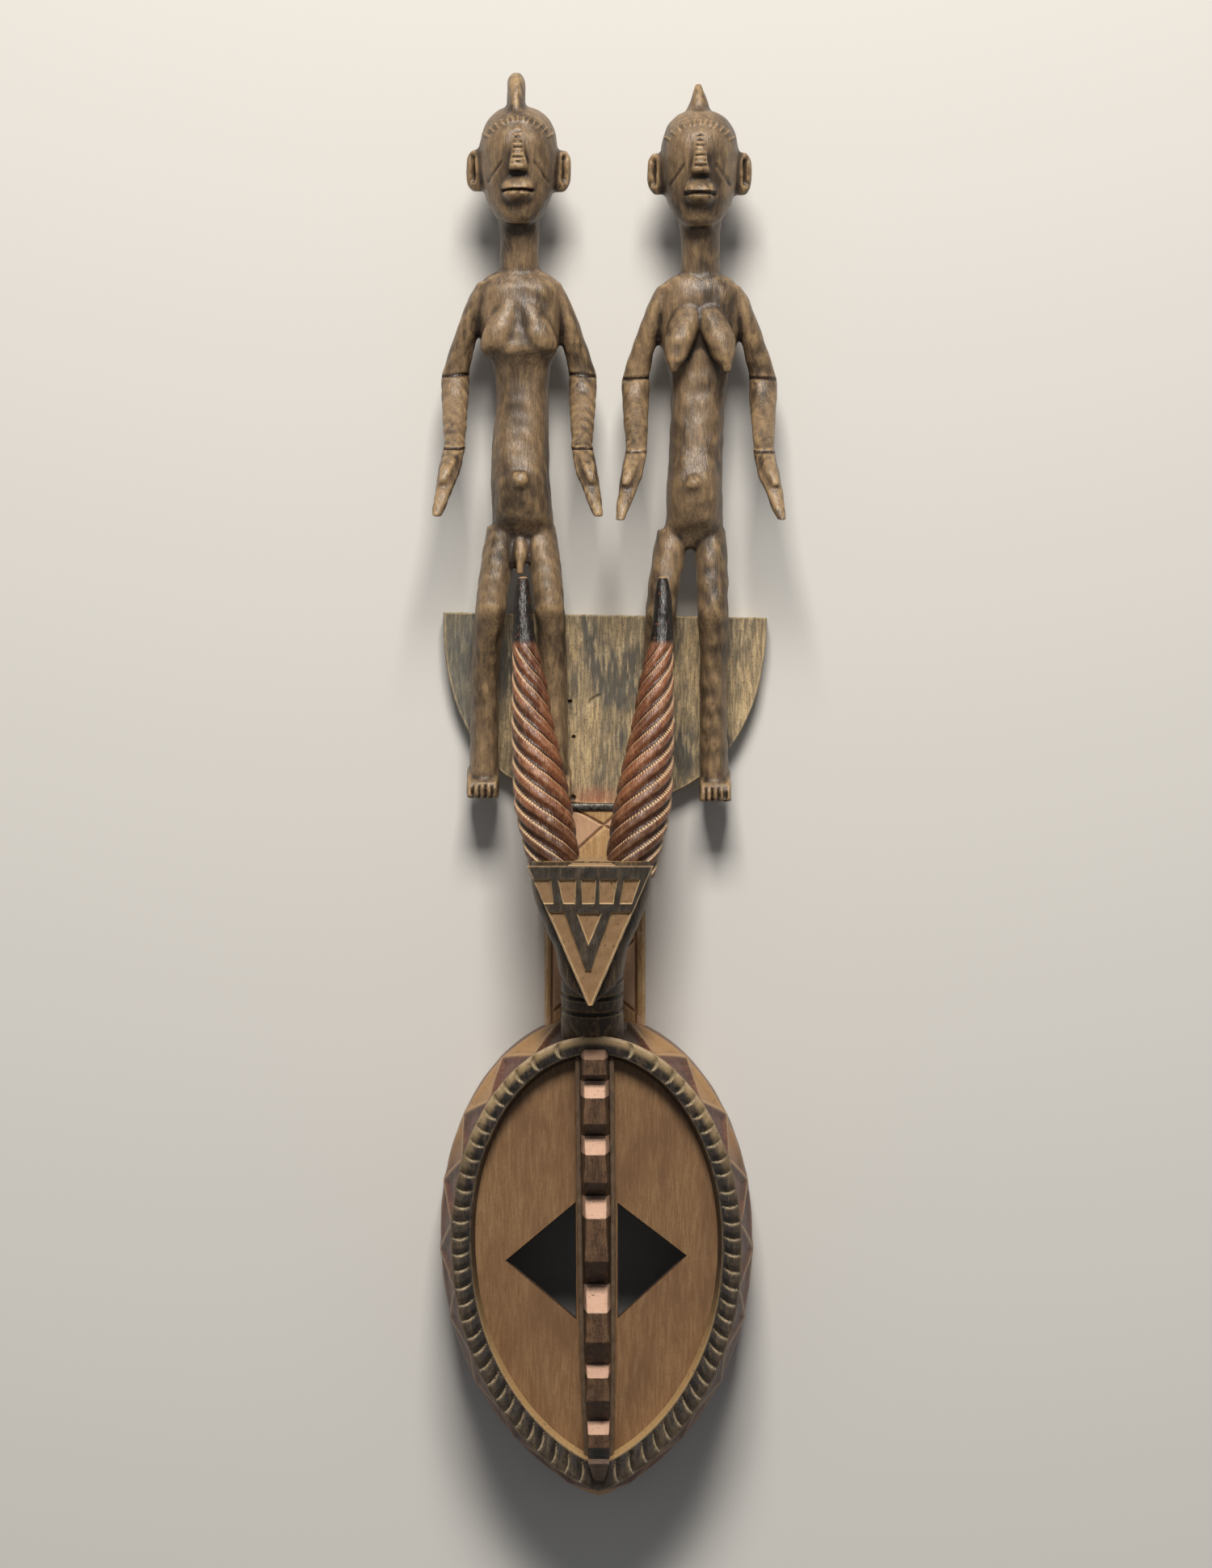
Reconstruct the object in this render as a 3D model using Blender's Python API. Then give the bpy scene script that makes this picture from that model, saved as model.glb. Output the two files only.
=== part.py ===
"""Bamana horned mask, carved from one piece of wood, lying on its back.

The mask's top points along +Y and its face along +Z. A plank rises behind the forehead to a
half-round plate that carries two standing figures. In front of the plank an antelope's head
stands on a ringed neck, and its two twisted horns end against the figures' thighs.
A thin metal strap crosses the plank under the plate.
"""
import math

import bmesh
import bpy
from mathutils import Matrix, Vector

# Face mask. Its height runs down from the top of the forehead to the pointed chin.
MASK_HEIGHT = 0.389
MASK_HALF_WIDTH = 0.127
MASK_TOP_Y = -0.187
MASK_X = -0.0075
MASK_LEAN = 0.011
MASK_FLARE_DEPTH = 0.055
MASK_WIDEST = 0.55
RIM_FRONT = 0.115
RIM_HALF_WIDTH = 0.1165
RIM_TOP_INSET = 0.014
RIM_CHIN_INSET = 0.011
RIM_WIDTH = 0.0165
RIM_TOP_WIDTH = 0.015
RIM_CHIN_WIDTH = 0.023
RIM_SLOPE = 0.002
NOTCH_DEPTH = 0.0035
NOTCHES = 72
PANEL_FRONT = 0.098
PANEL_SLOPE = 0.0030
FACE_WALL = 0.014
SIDE_WALL = 0.014
HOLLOW_SLOPE = 0.020
HOLLOW_POINTS = 32
ZIGZAGS = 18
ZIGZAG_RELIEF = 0.0040

# Eyes: a triangle on each side of the nose ridge, cut right through the face
EYE_HEIGHT = 0.091
EYE_WIDTH = 0.056
EYE_SHARE = 0.4975
EYE_POINT_DROP = 0.001
EYE_INNER_X = 0.0165

# Nose ridge down the middle of the face, cut into blocks
RIDGE_HALF_BASE = 0.0135
RIDGE_HALF_CHIN = 0.0085
RIDGE_HALF_RAIL = 0.0022
RIDGE_RAIL_RISE = 0.010
RIDGE_FRONT = 0.150
RIDGE_TAPER = 0.11
RIDGE_NOTCH_STEEPNESS = 0.85
BLOCK_SLOPE = 0.12
RIDGE_SINK = 0.008
RIDGE_POINT = 0.35
RIDGE_TOP_SHARE = 0.064
RAIL_TOP_SHARE = 0.060
RAIL_END_SHARE = 0.954
# Each block: its upper edge below the forehead's top and its length, as shares of the mask's height
BLOCKS = ((0.081, 0.032), (0.159, 0.055), (0.275, 0.059), (0.405, 0.091),
          (0.598, 0.062), (0.730, 0.049), (0.846, 0.028), (0.910, 0.051))

# Plank, plate and strap
PLANK_WIDTH = 0.082
PLANK_THICK = 0.028
PLANK_X = -0.0089
PLANK_LAP = 0.010
PLANK_SHOULDER = 0.0015
LAP_THICK = 0.019
PLATE_HALF_WIDTH = 0.1320
PLATE_HEIGHT = 0.155
PLATE_THICK = 0.022
PLATE_TOP_Y = 0.138
PLATE_X = -0.0007
PLATE_TILT = math.radians(-0.93)
PLATE_POWER = 2.3
PLATE_POINTS = 28
GROOVE_WIDTH = 0.0024
GROOVE_DEPTH = 0.0014
BORDER_INSET = 0.0065
PLANK_CROSSES = 3
STRAP_HEIGHT = 0.0062
STRAP_THICK = 0.0020
STRAP_DROP = 0.0015
CLEARANCE = 0.0003

# Antelope head, neck and horns
HEAD_X = -0.0105
PLAQUE_X = -0.0125
PLAQUE_WIDTH = 0.1010
PLAQUE_HEIGHT = 0.1120
PLAQUE_TOP_Y = -0.0640
PLAQUE_FRONT = 0.175
PLAQUE_THICK = 0.014
PLAQUE_RECESS = 0.0030
CELLS = 5
CELL_HEIGHT = 0.0195
CELL_TOP_INSET = 0.0110
CELL_BAR = 0.0052
HEAD_BACK = 0.105
# The head behind the plaque: distance below the plaque's top edge, half width, share of full depth
HEAD_LINE = ((-0.003, 0.0480, 1.0), (0.010, 0.0485, 1.0), (0.030, 0.0450, 0.99), (0.056, 0.0345, 0.96),
             (0.068, 0.0288, 0.92), (0.088, 0.0255, 0.80), (0.112, 0.0150, 0.35))
HEAD_OFFSET = -0.0012
NECK_RADIUS = 0.0255
NECK_TOP_DROP = 0.071
NECK_FOOT_DROP = 0.019
NECK_TOP_Z = 0.132
NECK_FOOT_Z = 0.088
NECK_GROOVES = (0.28, 0.452, 0.627)
NECK_GROOVE_HALF = 0.034
NECK_GROOVE = 0.0026
HORN_BASE_Z = 0.132
HORN_TIP_Z = 0.084
HORN_GROOVES = 6
HORN_GROOVE_DEPTH = 0.12
HORN_PITCH = 0.100
HORN_TWIST_END_Y = 0.112
HORN_RINGS = 28
# Each horn: height along Y, distance from the head's middle line, radius
HORN_LINE = ((-0.0750, 0.0290, 0.0205), (-0.0496, 0.0335, 0.0224), (-0.0168, 0.0398, 0.0234),
             (0.0161, 0.0441, 0.0208), (0.0492, 0.0484, 0.0173), (0.0823, 0.0510, 0.0142),
             (0.1155, 0.0550, 0.0098), (0.1400, 0.0562, 0.0078), (0.1580, 0.0562, 0.0058),
             (0.1670, 0.0562, 0.0034))

# The two figures, laid out on a grid of 900 parts to their height
FIGURE_HEIGHT = 0.5875
GRID = FIGURE_HEIGHT / 900
MAN_X = -0.0705
WOMAN_X = 0.0755
MAN_FEET_RISE = 0.0052
WOMAN_FEET_RISE = 0.0026
OUT_AT_PLATE = 34
MAN_LEAN = 4
WOMAN_LEAN = -14
LEAN_TOP = 600
LEAN_FOOT = 230
# How far each foot is set to the side, left leg first, from none at the hip to all of it below the knee
MAN_SPLAY = (-8, 0)
WOMAN_SPLAY = (0, -7)
SPLAY_TOP = 330
SPLAY_FOOT = 150
LIMB_SIDES = 10
TRUNK_SIDES = 12

# Stations of the figures' forms: height, side, distance out, half width, half depth
MAN_TRUNK = ((654, 1, 78, 27, 28), (646, 1, 78, 42, 34), (630, 2, 78, 52, 42), (600, 2, 77, 54, 46),
             (572, 2, 78, 50, 50), (554, 2, 80, 45, 50), (542, 3, 78, 38, 44), (528, 3, 76, 35, 38),
             (495, 3, 76, 33, 38), (428, 0, 80, 36, 44), (388, 0, 82, 37, 50), (352, 2, 80, 38, 46),
             (333, 3, 75, 38, 36), (316, 3, 71, 32, 26))
WOMAN_TRUNK = ((654, 0, 78, 27, 28), (646, 0, 78, 42, 34), (630, 1, 77, 52, 40), (600, 1, 76, 54, 40),
               (560, 1, 74, 46, 38), (534, 2, 74, 38, 36), (495, 2, 75, 34, 38), (428, 2, 80, 34, 44),
               (388, 2, 84, 35, 52), (352, 3, 80, 36, 46), (333, 3, 75, 36, 36), (314, 3, 71, 30, 26))
NECK = ((640, 1, 80, 28, 30), (665, 1, 84, 25, 27), (724, 0, 98, 28, 34))
HEAD = ((708, 0, 122, 15, 20), (717, 0, 114, 28, 36), (738, 0, 106, 39, 50), (764, 0, 100, 47, 62),
        (810, 0, 98, 49, 66), (835, 0, 96, 41, 55), (850, 0, 94, 27, 38), (857, 0, 92, 10, 15))
MAN_CREST = ((840, -3, 96, 12, 44), (868, -3, 96, 12, 36), (888, -3, 96, 11, 24), (898, -3, 96, 5, 9))
WOMAN_CREST = ((840, -1, 96, 24, 30), (860, -1, 96, 14, 18), (889, -1, 96, 4, 5))
NOSE = ((770, 0, 160, 12, 14), (776, 0, 162, 12, 16), (800, 0, 158, 8, 14), (828, 0, 146, 5, 11))
BROW = ((808, 0, 132, 36, 21), (818, 0, 137, 34, 23), (828, 0, 132, 26, 20))
MOUTH = ((768, 0, 146, 14, 12), (757, 0, 150, 20, 19), (747, 0, 152, 20, 21), (738, 0, 150, 19, 18),
         (730, 0, 144, 13, 12))
EAR = ((750, 51, 96, 6, 8), (762, 52, 96, 12, 14), (790, 53, 98, 12, 15), (802, 52, 98, 7, 9))
THIGH = ((338, 22, 74, 21, 30), (292, 28, 88, 21, 26), (246, 33, 98, 20, 24), (232, 34, 99, 20, 24),
         (212, 36, 88, 19, 26), (172, 38, 72, 18, 29), (92, 39, 61, 18, 29), (20, 40, 57, 18, 28))
ARM = ((640, 34, 80, 18, 24), (622, 45, 79, 17, 24), (600, 56, 78, 15, 22), (572, 66, 75, 15, 20),
       (534, 77, 68, 17, 19), (516, 79, 72, 18, 19), (430, 78, 142, 13, 15))
HAND = ((434, 78, 140, 14, 14), (402, 84, 160, 14, 15), (387, 88, 168, 12, 15), (360, 95, 184, 9, 13),
        (344, 99, 194, 6, 9))
THUMB = ((426, 82, 154, 9, 9), (405, 87, 172, 9, 10), (387, 92, 184, 5, 6))
BREAST = ((618, 10, 104, 12, 10), (600, 16, 110, 17, 16), (573, 24, 118, 20, 22), (550, 29, 124, 15, 18),
          (536, 32, 128, 8, 11), (528, 33, 129, 4, 5))
PEC = ((634, 3, 106, 6, 8), (605, 14, 110, 15, 15), (576, 23, 113, 22, 19), (556, 27, 111, 21, 18),
       (545, 27, 105, 13, 10))
LOINS = ((322, 2, 96, 9, 10), (300, 2, 104, 8, 10), (276, 2, 106, 5, 8))
TOES = 5
FOOT_HALF_WIDTH = 20
FOOT_SIDE = 41
FOOT_HEIGHT = 30
FOOT_HEEL_OUT = 27
FOOT_TOE_OUT = 96
TOE_GROOVE = 7


def clear_scene():
    for item in list(bpy.data.objects):
        bpy.data.objects.remove(item)


def new_collection(name):
    collection = bpy.data.collections.new(name)
    bpy.context.scene.collection.children.link(collection)
    return collection


def new_material(name, colour, roughness, metallic):
    material = bpy.data.materials.new(name)
    material.use_nodes = True
    shader = material.node_tree.nodes["Principled BSDF"]
    shader.inputs["Base Color"].default_value = (*colour, 1.0)
    shader.inputs["Roughness"].default_value = roughness
    shader.inputs["Metallic"].default_value = metallic
    return material


def mesh_object(name, shape, collection):
    bmesh.ops.recalc_face_normals(shape, faces=shape.faces)
    mesh = bpy.data.meshes.new(name)
    shape.to_mesh(mesh)
    shape.free()
    item = bpy.data.objects.new(name, mesh)
    collection.objects.link(item)
    if collection is GUIDES:
        item.hide_render = True
        item.display_type = "WIRE"
    return item


def add_band(shape, low, high, falling):
    """Triangles from one ring to the next, which has as many points or a whole multiple."""
    count = len(low)
    steps = len(high) // count
    for i in range(count):
        j = (i + 1) % count
        run = [high[(i * steps + k) % len(high)] for k in range(steps + 1)]
        hub = low[j] if falling(i) else low[i]
        for near, far in zip(run, run[1:]):
            shape.faces.new((hub, far, near))
        shape.faces.new((low[i], low[j], run[0] if falling(i) else run[-1]))


def add_loft(shape, rings, falling=None):
    """Join closed rings into one closed skin with flat ends."""
    rows = [[shape.verts.new(point) for point in ring] for ring in rings]
    for low, high in zip(rows, rows[1:]):
        if falling is not None:
            add_band(shape, low, high, falling)
            continue
        for i in range(len(low)):
            j = (i + 1) % len(low)
            shape.faces.new((low[i], low[j], high[j], high[i]))
    shape.faces.new(rows[0])
    shape.faces.new(rows[-1])


def loft(name, rings, collection, falling=None):
    shape = bmesh.new()
    add_loft(shape, rings, falling)
    return mesh_object(name, shape, collection)


def section(x, y, z, half_width, half_depth, sides, power=2.0):
    """A ring across Y: an ellipse at power 2, squarer above it."""
    ring = []
    for i in range(sides):
        angle = 2 * math.pi * (i + 0.5) / sides
        c, s = math.cos(angle), math.sin(angle)
        ring.append(Vector((x + half_width * math.copysign(abs(c) ** (2 / power), c), y,
                            z + half_depth * math.copysign(abs(s) ** (2 / power), s))))
    return ring


def add_prism(shape, outline, low, high):
    add_loft(shape, [[Vector((x, y, z)) for x, y in outline] for z in (low, high)])


def cut(item, cutter, operation="DIFFERENCE"):
    modifier = item.modifiers.new(cutter.name, "BOOLEAN")
    modifier.operation = operation
    modifier.solver = "EXACT"
    modifier.object = cutter


def join(item, other):
    cut(item, other, "UNION")


# Face mask

def down_mask(share):
    """A height on the mask, as a share of the way from the forehead's top to the chin."""
    return MASK_TOP_Y - MASK_HEIGHT * share


def mask_x(y):
    """The face's middle line, which leans a little."""
    return MASK_X - MASK_LEAN * (y - down_mask(EYE_SHARE))


def almond(half_width, top, chin, count):
    """An outline with an elliptical forehead and a pointed chin, in even steps from the top."""
    widest = chin + (top - chin) * MASK_WIDEST
    fine = []
    for i in range(401):
        angle = math.pi * i / 400
        if angle <= math.pi / 2:
            x = half_width * math.sin(angle)
            y = widest + (top - widest) * math.cos(angle)
        else:
            drop = math.sin(angle - math.pi / 2)
            x = half_width * max(0.0, 1 - drop ** 2.2) ** 0.72
            y = widest - (widest - chin) * drop
        fine.append((x, y))
    reach = [0.0]
    for (x0, y0), (x1, y1) in zip(fine, fine[1:]):
        reach.append(reach[-1] + math.hypot(x1 - x0, y1 - y0))
    half = []
    k = 0
    for i in range(count // 2 + 1):
        target = reach[-1] * i / (count // 2)
        while k < len(fine) - 2 and reach[k + 1] < target:
            k += 1
        share = (target - reach[k]) / (reach[k + 1] - reach[k])
        x = fine[k][0] + (fine[k + 1][0] - fine[k][0]) * share
        y = fine[k][1] + (fine[k + 1][1] - fine[k][1]) * share
        half.append((x, y))
    other = [(-x, y) for x, y in half[-2:0:-1]]
    return [(x + mask_x(y), y) for x, y in half + other]


def lifted(outline, z):
    return [Vector((x, y, z)) for x, y in outline]


def rim_outlines(count):
    """The rim's outer edge, its inner edge and the edge of the sunk face."""
    top = MASK_TOP_Y - RIM_TOP_INSET
    chin = down_mask(1) + RIM_CHIN_INSET
    half = RIM_HALF_WIDTH - RIM_WIDTH
    inner_top = top - RIM_TOP_WIDTH
    inner_chin = chin + RIM_CHIN_WIDTH
    return (almond(RIM_HALF_WIDTH, top, chin, count), almond(half, inner_top, inner_chin, count),
            almond(half - PANEL_SLOPE, inner_top - PANEL_SLOPE, inner_chin + PANEL_SLOPE, count))


def wall_ring(share, relief):
    """A ring of the outer wall between its widest line (0) and the rim (1), four points to a zigzag."""
    count = 4 * ZIGZAGS
    widest = almond(MASK_HALF_WIDTH, MASK_TOP_Y, down_mask(1), count)
    rim = rim_outlines(count)[0]
    middle = Vector((MASK_X, down_mask(EYE_SHARE), 0))
    ring = []
    for i in range(count):
        point = Vector((*widest[i], MASK_FLARE_DEPTH)).lerp(Vector((*rim[i], RIM_FRONT)), share)
        if i % 2 == 0:
            inward = middle - point
            inward.z = 0
            point += inward.normalized() * relief
        ring.append(point)
    return ring


def make_shell():
    """Outer wall with its zigzag of sunk triangles, the notched rim and the flat face."""
    widest = wall_ring(0, 0)
    rim, inner, panel = rim_outlines(2 * NOTCHES)
    notches = []
    for i in range(2 * NOTCHES):
        drop = NOTCH_DEPTH if i % 2 else 0.0
        notches.append(Vector(((rim[i][0] + inner[i][0]) / 2, (rim[i][1] + inner[i][1]) / 2, RIM_FRONT - drop)))
    rings = [lifted([point.xy for point in widest], 0.0), widest, wall_ring(0.5, ZIGZAG_RELIEF),
             lifted(rim, RIM_FRONT), notches, lifted(inner, RIM_FRONT - RIM_SLOPE), lifted(panel, PANEL_FRONT)]
    return loft("wood_carving", rings, PARTS, lambda i: i % 4 >= 2)


def make_hollow():
    floor = PANEL_FRONT - FACE_WALL
    rings = []
    for inset, z in ((SIDE_WALL, -SIDE_WALL), (SIDE_WALL, floor - HOLLOW_SLOPE), (SIDE_WALL + HOLLOW_SLOPE, floor)):
        outline = almond(MASK_HALF_WIDTH - inset, MASK_TOP_Y - inset, down_mask(1) + inset * 1.5, HOLLOW_POINTS)
        rings.append(lifted(outline, z))
    return loft("hollow_cutter", rings, GUIDES)


def make_eyes():
    shape = bmesh.new()
    middle = down_mask(EYE_SHARE)
    for side in (-1, 1):
        inner = MASK_X + side * EYE_INNER_X
        outer = inner + side * EYE_WIDTH
        outline = [(inner, middle + EYE_HEIGHT / 2), (inner, middle - EYE_HEIGHT / 2),
                   (outer, middle + EYE_POINT_DROP)]
        add_prism(shape, outline, PANEL_FRONT - 3 * FACE_WALL, RIDGE_FRONT)
    return mesh_object("eye_cutter", shape, GUIDES)


def ridge_half_base(y):
    share = (down_mask(RIDGE_TOP_SHARE) - y) / (down_mask(RIDGE_TOP_SHARE) - down_mask(1))
    return RIDGE_HALF_BASE + (RIDGE_HALF_CHIN - RIDGE_HALF_BASE) * max(0.0, share) ** 3


def ridge_profile():
    """The ridge's crest from forehead to chin, as heights along Y."""
    profile = [(down_mask(RIDGE_TOP_SHARE), RIM_FRONT)]
    deepest = RIDGE_FRONT - PANEL_FRONT - RIDGE_RAIL_RISE
    previous = None
    for start, run in BLOCKS:
        upper, length = down_mask(start), MASK_HEIGHT * run
        if previous is not None:
            gap = previous - upper
            depth = min(gap * RIDGE_NOTCH_STEEPNESS, deepest)
            profile.append((previous - gap * 0.45, RIDGE_FRONT - depth))
        if (start, run) == BLOCKS[-1]:
            profile.append((upper, RIDGE_FRONT - deepest / 2))
            profile.append((upper - length, RIM_FRONT))
            return profile
        profile.append((upper, RIDGE_FRONT))
        profile.append((upper - length, RIDGE_FRONT - length * BLOCK_SLOPE))
        previous = upper - length


def make_ridge():
    rings = []
    for y, z in ridge_profile():
        x = mask_x(y)
        base = ridge_half_base(y) - RIDGE_HALF_RAIL / 2
        top = base - (z - PANEL_FRONT) * RIDGE_TAPER
        if y < down_mask(BLOCKS[-1][0]):
            top *= RIDGE_POINT
        low = PANEL_FRONT - RIDGE_SINK
        rings.append([Vector((x - base, y, low)), Vector((x + base, y, low)),
                      Vector((x + top, y, z)), Vector((x - top, y, z))])
    return loft("nose_ridge", rings, GUIDES)


def make_rail(side):
    rings = []
    top, end = down_mask(RAIL_TOP_SHARE), down_mask(RAIL_END_SHARE)
    for share in (0, 0.4, 0.7, 0.9, 1):
        y = top + (end - top) * share
        x = mask_x(y) + side * ridge_half_base(y)
        low, high = PANEL_FRONT - FACE_WALL / 2, PANEL_FRONT + RIDGE_RAIL_RISE
        corners = ((-1, low), (1, low), (1, high), (-1, high))
        rings.append([Vector((x + edge * RIDGE_HALF_RAIL, y, z)) for edge, z in corners])
    return loft("nose_rail", rings, GUIDES)


# Plank, plate and strap

def plate_foot():
    return PLATE_TOP_Y - PLATE_HEIGHT


def make_plank():
    """The plank, thinned where it runs up behind the plate."""
    top, foot = plate_foot() + PLANK_LAP, MASK_TOP_Y - PLANK_LAP
    shoulder = plate_foot() + PLANK_SHOULDER
    profile = ((foot, 0.0), (foot, PLANK_THICK), (shoulder, PLANK_THICK), (shoulder, LAP_THICK), (top, LAP_THICK),
               (top, 0.0))
    rings = [[Vector((PLANK_X + side * PLANK_WIDTH / 2, y, z)) for y, z in profile] for side in (-1, 1)]
    return loft("plank", rings, GUIDES)


def add_groove(shape, start, end):
    """A straight cutter for a shallow line in the plank's front."""
    start, end = Vector(start), Vector(end)
    along = (end - start).normalized()
    across = Vector((-along.y, along.x)) * GROOVE_WIDTH / 2
    outline = [start - across, end - across, end + across, start + across]
    add_prism(shape, [(p.x, p.y) for p in outline], PLANK_THICK - GROOVE_DEPTH, PLANK_THICK + 0.01)


def make_plank_grooves():
    shape = bmesh.new()
    left = PLANK_X - PLANK_WIDTH / 2 + BORDER_INSET
    right = PLANK_X + PLANK_WIDTH / 2 - BORDER_INSET
    top, foot = plate_foot() - BORDER_INSET, MASK_TOP_Y + GROOVE_WIDTH
    add_groove(shape, (left, foot), (left, top))
    add_groove(shape, (right, foot), (right, top))
    return mesh_object("plank_border_cutter", shape, GUIDES)


def make_plank_diagonal(name, rising):
    """One zigzag of diagonal lines down the plank, mirrored for the other."""
    shape = bmesh.new()
    left = PLANK_X - PLANK_WIDTH / 2 + BORDER_INSET + 2 * GROOVE_WIDTH
    right = PLANK_X + PLANK_WIDTH / 2 - BORDER_INSET - 2 * GROOVE_WIDTH
    top = plate_foot() - 2 * BORDER_INSET
    step = (top - MASK_TOP_Y - BORDER_INSET) / PLANK_CROSSES
    for k in range(PLANK_CROSSES):
        y = top - k * step
        if (k % 2 == 0) == rising:
            add_groove(shape, (left, y - step + 2 * GROOVE_WIDTH), (right, y))
        else:
            add_groove(shape, (left, y), (right, y - step + 2 * GROOVE_WIDTH))
    return mesh_object(name, shape, GUIDES)


def make_plate():
    outline = []
    for i in range(PLATE_POINTS + 1):
        angle = math.pi * i / PLATE_POINTS
        c, s = math.cos(angle), math.sin(angle)
        x = PLATE_HALF_WIDTH * math.copysign(abs(c) ** (2 / PLATE_POWER), c)
        outline.append((x, -PLATE_HEIGHT * s ** (2 / PLATE_POWER)))
    shape = bmesh.new()
    add_prism(shape, outline, 0.0, PLATE_THICK)
    place = Matrix.Translation((PLATE_X, PLATE_TOP_Y, 0)) @ Matrix.Rotation(PLATE_TILT, 4, "Z")
    bmesh.ops.transform(shape, matrix=place, verts=shape.verts)
    return mesh_object("half_round_plate", shape, GUIDES)


def make_strap():
    shape = bmesh.new()
    left, right = PLANK_X - PLANK_WIDTH / 2, PLANK_X + PLANK_WIDTH / 2
    middle = plate_foot() - STRAP_DROP
    low, high = middle - STRAP_HEIGHT / 2, middle + STRAP_HEIGHT / 2
    front = PLANK_THICK + CLEARANCE
    add_prism(shape, [(left, low), (right, low), (right, high), (left, high)], front, front + STRAP_THICK)
    return mesh_object("cross_strap", shape, PARTS)


# Antelope head, neck and horns

def make_head():
    """The head behind the plaque: a wedge that narrows from the horns to the neck."""
    front = PLAQUE_FRONT - PLAQUE_THICK + 0.002
    depth = (front - HEAD_BACK) / 2
    middle = HEAD_BACK + depth
    rings = []
    for drop, half, squeeze in HEAD_LINE:
        rings.append(section(HEAD_X + HEAD_OFFSET, PLAQUE_TOP_Y - drop, middle + depth * (1 - squeeze),
                             half, depth * squeeze, 16, 3.5))
    return loft("antelope_head", rings, GUIDES)


def make_plaque():
    shape = bmesh.new()
    half = PLAQUE_WIDTH / 2
    outline = [(PLAQUE_X - half, PLAQUE_TOP_Y), (PLAQUE_X - 0.0015, PLAQUE_TOP_Y - PLAQUE_HEIGHT),
               (PLAQUE_X + 0.0015, PLAQUE_TOP_Y - PLAQUE_HEIGHT), (PLAQUE_X + half, PLAQUE_TOP_Y)]
    add_prism(shape, outline, PLAQUE_FRONT - PLAQUE_THICK, PLAQUE_FRONT)
    return mesh_object("plaque", shape, GUIDES)


def plaque_half(y):
    """The plaque's half width at a height."""
    return PLAQUE_WIDTH / 2 * (1 - (PLAQUE_TOP_Y - y) / PLAQUE_HEIGHT)


def make_plaque_cells():
    """Five cells in a row under the top edge, a V band and a small triangle inside it."""
    shape = bmesh.new()
    low, high = PLAQUE_FRONT - PLAQUE_RECESS, PLAQUE_FRONT + 0.01
    top = PLAQUE_TOP_Y - CELL_TOP_INSET
    foot = top - CELL_HEIGHT
    for k in range(CELLS):
        corners = []
        for y, edge in ((top, 0), (top, 1), (foot, 1), (foot, 0)):
            half = plaque_half(y) - CELL_BAR
            width = (2 * half - (CELLS - 1) * CELL_BAR) / CELLS
            corners.append((PLAQUE_X - half + k * (width + CELL_BAR) + edge * width, y))
        add_prism(shape, corners, low, high)
    band_top = foot - 0.0065
    half = plaque_half(band_top) - 0.003
    tip = PLAQUE_TOP_Y - PLAQUE_HEIGHT + 0.006
    band = 0.0110
    add_prism(shape, [(PLAQUE_X - half, band_top), (PLAQUE_X, tip), (PLAQUE_X + half, band_top),
                      (PLAQUE_X + half - band, band_top), (PLAQUE_X, tip + band * 1.9),
                      (PLAQUE_X - half + band, band_top)], low, high)
    inner = half - band - 0.0085
    add_prism(shape, [(PLAQUE_X - inner, band_top), (PLAQUE_X, band_top - inner * 1.9),
                      (PLAQUE_X + inner, band_top)], low, high)
    return mesh_object("plaque_cell_cutter", shape, GUIDES)


def make_neck():
    rings = []
    shares = [0.0]
    for groove in NECK_GROOVES:
        shares += [groove - NECK_GROOVE_HALF, groove, groove + NECK_GROOVE_HALF]
    shares.append(1.0)
    top, foot = PLAQUE_TOP_Y - NECK_TOP_DROP, MASK_TOP_Y - NECK_FOOT_DROP
    for share in shares:
        y = top + (foot - top) * share
        z = NECK_TOP_Z + (NECK_FOOT_Z - NECK_TOP_Z) * share
        radius = NECK_RADIUS - (NECK_GROOVE if share in NECK_GROOVES else 0.0)
        rings.append(section(HEAD_X - 0.0005, y, z, radius, radius * 0.86, 14))
    return loft("antelope_neck", rings, GUIDES)


def horn_at(y):
    """Distance from the middle line and radius of a horn at a height, read off its line."""
    for (y0, x0, r0), (y1, x1, r1) in zip(HORN_LINE, HORN_LINE[1:]):
        if y <= y1 or y1 == HORN_LINE[-1][0]:
            share = (y - y0) / (y1 - y0)
            return x0 + (x1 - x0) * share, r0 + (r1 - r0) * share
    return HORN_LINE[-1][1:]


def make_horn(side):
    """A horn whose ribs turn round it as they climb, with a plain tip."""
    base, tip = HORN_LINE[0][0], HORN_LINE[-1][0]
    rings = []
    for k in range(HORN_RINGS + 1):
        share = k / HORN_RINGS
        y = base + (tip - base) * share
        offset, radius = horn_at(y)
        z = HORN_BASE_Z + (HORN_TIP_Z - HORN_BASE_Z) * share
        groove = HORN_GROOVE_DEPTH * (1.0 if y < HORN_TWIST_END_Y else 0.0)
        turn = -side * 2 * math.pi * (y - base) / HORN_PITCH
        ring = []
        for i in range(2 * HORN_GROOVES):
            angle = math.pi * i / HORN_GROOVES + turn
            reach = radius * (1 - (groove if i % 2 else 0.0))
            ring.append(Vector((HEAD_X + side * offset + reach * math.cos(angle), y,
                                z + reach * math.sin(angle))))
        rings.append(ring)
    return loft("horn", rings, GUIDES)


# Figures

def sway(up, lean):
    """Sideways shift of a figure's body: none at the shoulders, all of it at the knees."""
    share = (LEAN_TOP - up) / (LEAN_TOP - LEAN_FOOT)
    return lean * min(1.0, max(0.0, share))


def spread(up, splay):
    """Sideways shift of one leg: none at the hip, all of it below the knee."""
    share = (SPLAY_TOP - up) / (SPLAY_TOP - SPLAY_FOOT)
    return splay * min(1.0, max(0.0, share))


def out_to_z(out):
    """A figure's distance out, on its grid, as a height above the back. It stands on the plate's front."""
    return PLATE_THICK + (out - OUT_AT_PLATE) * GRID


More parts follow.
